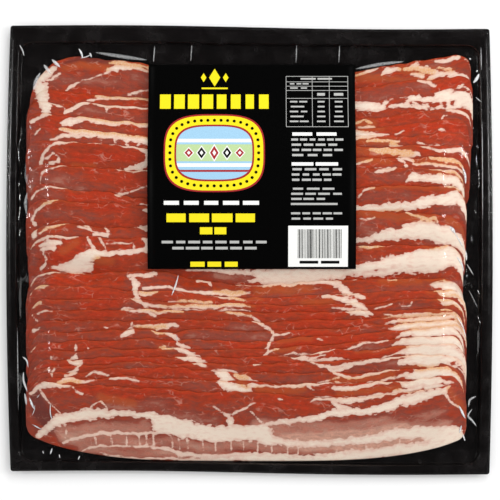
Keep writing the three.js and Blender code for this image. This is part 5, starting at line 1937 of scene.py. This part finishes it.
@dataclass
class LabelPrint:
    """The label's print: an ornament, a plaque with lozenges, a small table, rows of bars and a bar code."""

    label: PrintedLabel
    pixel_left: float = 149.0
    pixel_top: float = 65.0
    pixel_width: float = 206.0
    ink_mm: float = 0.03
    sunk_mm: float = 0.03
    line: float = 0.5
    ornament: tuple[float, float] = (215.0, 78.0)
    ornament_step: float = 11.0
    rule: tuple[float, ...] = (202.0, 88.0, 228.0, 89.6)
    table: tuple[float, ...] = (286.0, 76.5, 347.5, 127.5)
    table_lines: tuple[float, ...] = (82.0, 86.4, 90.7, 98.7)
    table_columns: tuple[float, ...] = (312.0, 329.0)
    code_box: tuple[float, ...] = (288.0, 226.0, 347.0, 266.5)
    plaque: tuple[float, float, float, float] = (215.0, 154.0, 50.0, 39.0)
    squareness: float = 3.2
    beads: int = 40
    bead_inset: float = 6.2
    inner_inset: float = 12.4
    lozenge_step: float = 12.6
    lozenge_half: float = 5.4
    shells: dict[Ink, Shell] = field(default_factory=dict)

    @property
    def scale(self) -> float:
        """Millimetres in one of the photo's pixels."""
        return (self.label.outline.right - self.label.outline.left) / self.pixel_width

    def on_label(self, x: Array | float, y: Array | float) -> tuple[Array | float, Array | float]:
        """Turn places in the photo's pixels into X and Y on the label."""
        box = self.label.outline
        return box.left + (x - self.pixel_left) * self.scale, box.top - (y - self.pixel_top) * self.scale

    def field_of(self, ink: Ink, x: Array, y: Array, level: int = 1) -> None:
        """Print a field of ink.

        Args:
            ink: The field's ink.
            x: X of a grid of places, in the photo's pixels.
            y: Their Y.
            level: Fields of a higher level lie on those of a lower one.
        """
        across, along = self.on_label(x, y)
        height = self.label.top_at(along)
        shell = self.shells.setdefault(ink, Shell())
        x, y, face = (value[:, ::-1] for value in (across, along, height))
        shell.add_slab(x, y, face + level * self.ink_mm, face - self.sunk_mm)

    def box(self, ink: Ink, left: float, top: float, right: float, bottom: float, level: int = 1) -> None:
        """Print a rectangle between two corners."""
        rows = int(abs(bottom - top) / 3) + 2
        self.field_of(ink, *Outline(left, right, top, bottom, 0.0).grid(2, rows), level)

    def disc(
        self, ink: Ink, middle: tuple[float, float], half: tuple[float, float], power: float, level: int
    ) -> None:
        """Print a rounded field: power 1 is a diamond, 2 an oval and more of it a softened rectangle."""
        share = np.sin(np.linspace(-math.pi / 2, math.pi / 2, 41))
        reach = (1 - np.abs(share) ** power) ** (1 / power)
        side = np.linspace(-1, 1, 9)[:, None]
        x = middle[0] + half[0] * np.maximum(reach, 0.004) * side
        self.field_of(ink, x, np.broadcast_to(middle[1] + half[1] * share, x.shape), level)

    def band(self, ink: Ink, upper: Array, lower: Array, x: Array, level: int) -> None:
        """Print a band between two wavy lines."""
        share = np.linspace(0, 1, 7)[None, :]
        y = upper[:, None] + (lower - upper)[:, None] * share
        self.field_of(ink, np.broadcast_to(x[:, None], y.shape), y, level)

    def draw_ornament(self) -> None:
        """Print a row of three lozenges over a thin line at the head of the label."""
        x, y = self.ornament
        for step, half in ((0, 9.0), (-1, 4.5), (1, 4.5)):
            self.disc(Ink.YELLOW, (x + self.ornament_step * step, y), (half * 0.62, half), 1.0, 1)
        self.box(Ink.YELLOW, *self.rule)

    def draw_plaque(self) -> None:
        """Print the plaque: a yellow rim with a row of beads, and plain stripes and lozenges inside."""
        x, y, wide, high = self.plaque
        power, inner = self.squareness, self.inner_inset
        rims = ((Ink.RED, 0), (Ink.YELLOW, 1.6), (Ink.RED, inner - 1.8), (Ink.SKY, inner))
        for level, (ink, inset) in enumerate(rims, start=1):
            self.disc(ink, (x, y), (wide - inset, high - inset), power, level)
        inner_wide, inner_high = wide - inner, high - inner
        along = x + inner_wide * np.sin(np.linspace(-1.5, 1.5, 41))
        reach = inner_high * (1 - np.abs((along - x) / inner_wide) ** power) ** (1 / power)
        stripes = ((Ink.WHITE, -14, -10.5), (Ink.GREEN, -8.5, 8.5), (Ink.WHITE, 10.5, 14), (Ink.RED, 17, 19))
        for ink, upper, lower in stripes:
            top, foot = (y + np.clip(edge, -reach, reach - 0.05) for edge in (upper, lower))
            self.band(ink, top, np.maximum(foot, top + 0.05), along, 5)
        for step in range(-2, 3):
            half_high = 9.0 - 1.6 * abs(step)
            core = Ink.BLACK if step % 2 else Ink.RED
            layers = ((Ink.WHITE, 1.0), (core, 0.78), (Ink.WHITE, 0.34))
            for level, (ink, share) in enumerate(layers, start=6):
                half = (self.lozenge_half * share, half_high * share)
                self.disc(ink, (x + self.lozenge_step * step, y), half, 1.0, level)
        for place in self.even_places(wide - self.bead_inset, high - self.bead_inset):
            self.disc(Ink.BLACK, place, (1.5, 1.5), 2.0, 5)

    def even_places(self, half_wide: float, half_high: float) -> list[tuple[float, float]]:
        """Give evenly spaced places round the plaque, on a softened rectangle of the given half size."""
        turn = np.linspace(0, 2 * math.pi, 721)
        cos, sin = np.cos(turn), np.sin(turn)
        x = self.plaque[0] + half_wide * np.sign(cos) * np.abs(cos) ** (2 / self.squareness)
        y = self.plaque[1] + half_high * np.sign(sin) * np.abs(sin) ** (2 / self.squareness)
        length = np.concatenate([[0.0], np.cumsum(np.hypot(np.diff(x), np.diff(y)))])
        wanted = np.linspace(0, length[-1], self.beads, endpoint=False)
        return list(zip(np.interp(wanted, length, x).tolist(), np.interp(wanted, length, y).tolist()))

    def draw_table(self) -> None:
        """Print the small table's frame and lines, and the white box behind the bar code."""
        left, top, right, bottom = self.table
        for y in (top, *self.table_lines, bottom):
            self.box(Ink.GREY, left, y, right, y + self.line)
        for x in (left, *self.table_columns, right):
            self.box(Ink.GREY, x, top, x + self.line, bottom + self.line, 2)
        self.box(Ink.WHITE, *self.code_box)

    def draw_bars(self, bar_row: BarRow, finishes: dict[Ink, bpy.types.Material]) -> None:
        """Print every row of bars.

        Args:
            bar_row: The tree that makes a row.
            finishes: The material of each ink.
        """
        for seed, row in enumerate(BAR_ROWS):
            pitch = (row.right - row.left) / row.count * self.scale
            mesh = bar_row.mesh(
                Count=row.count,
                Pitch=pitch,
                Least=pitch * row.fill[0],
                Most=pitch * row.fill[1],
                Height=(row.bottom - row.top) * self.scale,
                Thickness=1.0,
                Seed=seed,
                Material=finishes[row.ink],
            )
            points = np.empty(len(mesh.vertices) * 3)
            mesh.vertices.foreach_get("co", points)
            points = points.reshape(-1, 3)
            start, middle = self.on_label(row.left, (row.top + row.bottom) / 2)
            across, along = start + pitch / 2 + points[:, 0], middle + points[:, 1]
            face = self.label.top_at(along)
            height = np.where(points[:, 2] > 0, face + 3 * self.ink_mm, face - self.sunk_mm)
            shell = self.shells.setdefault(row.ink, Shell())
            faces = [tuple(polygon.vertices) for polygon in mesh.polygons]
            shell.points.append(np.stack([across, along, height], -1))
            shell.faces.append(np.array(faces) + shell.count)
            shell.count += len(points)
            bpy.data.meshes.remove(mesh)

    def build(self) -> list[bpy.types.Object]:
        """Make one piece for each ink."""
        finishes = {ink: PrintedInkFinish(f"{ink.name.lower()}_label_ink", ink.value).make() for ink in Ink}
        self.draw_ornament()
        self.draw_plaque()
        self.draw_table()
        self.draw_bars(BarRow(), finishes)
        return [
            shell.make(f"label_ink_{ink.name.lower()}", finishes[ink], False)
            for ink, shell in self.shells.items()
        ]


@dataclass(frozen=True)
class Studio:
    """Pale floor, soft lights at the sides and a camera straight above."""

    photo_width_mm: float = 285.0
    subject_height_mm: float = 5.0
    floor_half_m: float = 4.0
    room_light: float = 0.75
    mirrored_room: float = 0.03
    lens_mm: float = 135.0
    sensor_mm: float = 36.0

    def build(self) -> None:
        """Make the floor, the lights and the camera."""
        self.floor()
        self.lights()
        self.camera()

    def floor(self) -> None:
        """Lay a large pale floor under the pack."""
        mesh = bpy.data.meshes.new("studio_floor")
        half = self.floor_half_m
        corners = [(-half, -half, 0), (half, -half, 0), (half, half, 0), (-half, half, 0)]
        mesh.from_pydata(corners, [], [(0, 1, 2, 3)])
        mesh.materials.append(FloorFinish().make())
        floor = bpy.data.objects.new("studio_floor", mesh)
        bpy.context.scene.collection.objects.link(floor)

    def lights(self) -> None:
        """Set soft boxes where neither the black web nor the tilted rashers mirror them to the camera."""
        for name, azimuth, elevation, size, watts in (
            ("soft_fill_back", 75, 45, 0.5, 3.0),
            ("soft_fill_right", 10, 45, 0.5, 2.4),
            ("small_box_left", 172, 34, 0.14, 1.0),
            ("small_box_right", 8, 34, 0.14, 1.0),
        ):
            light = bpy.data.lights.new(name, "AREA")
            light.shape = "SQUARE"
            light.size = size
            light.energy = watts
            lamp = bpy.data.objects.new(name, light)
            lamp.visible_glossy = name.startswith("small")
            turn, rise = math.radians(azimuth), math.radians(elevation)
            out, up = math.cos(rise), math.sin(rise)
            lamp.location = Vector((math.cos(turn) * out, math.sin(turn) * out, up))
            lamp.rotation_euler = (-lamp.location).to_track_quat("-Z", "Y").to_euler()
            bpy.context.scene.collection.objects.link(lamp)
        bpy.context.scene.world = self.air()
        bpy.context.scene.view_settings.view_transform = "Standard"

    def air(self) -> bpy.types.World:
        """Make the room's light: bright and even on matt faces, and dim where gloss mirrors it."""
        world = bpy.data.worlds.new("studio_air")
        world.use_nodes = True
        tree = world.node_tree
        tree.nodes.clear()
        mirrored = add_node(tree, "ShaderNodeLightPath").outputs["Is Glossy Ray"]
        light = {"To_Min": self.room_light, "To_Max": self.mirrored_room}
        strength = add_node(tree, "ShaderNodeMapRange", Value=mirrored, **light)
        background = add_node(tree, "ShaderNodeBackground", Color=(1, 1, 1, 1), Strength=strength)
        add_node(tree, "ShaderNodeOutputWorld", Surface=background)
        return world

    def camera(self) -> None:
        """Look straight down on the pack, with the label's top edge up."""
        lens = bpy.data.cameras.new("camera")
        lens.lens = self.lens_mm
        lens.sensor_width = self.sensor_mm
        camera = bpy.data.objects.new("camera", lens)
        distance = self.photo_width_mm * self.lens_mm / self.sensor_mm
        camera.location = (0, 0, (distance + self.subject_height_mm) * MM)
        bpy.context.scene.collection.objects.link(camera)
        bpy.context.scene.camera = camera


def main() -> None:
    """Build the pack's pieces in order."""
    logging.basicConfig(level=logging.INFO, format="%(message)s")
    web = SoftWeb()
    place(FormedTray(web).build(BlackWebFinish().make()), "black_web", "tray")
    pork = CuredPorkFinish().make()
    rashers = Shingles().rashers()
    for rasher in rashers:
        place(rasher.build(pork), "cured_pork", rasher.name)
    film = VacuumFilm(web, rashers)
    place(film.build(ClearFilmFinish().make()), "clear_film", "top_film")
    place(FilmCreases(film).build(PaintedGlintFilmFinish().make()), "clear_film")
    label = PrintedLabel(film)
    place(label.build(LabelStockFinish().make()), "label_stock", "label")
    for ink in LabelPrint(label).build():
        place(ink, "label_stock")
    Studio().build()


if __name__ == "__main__":
    main()
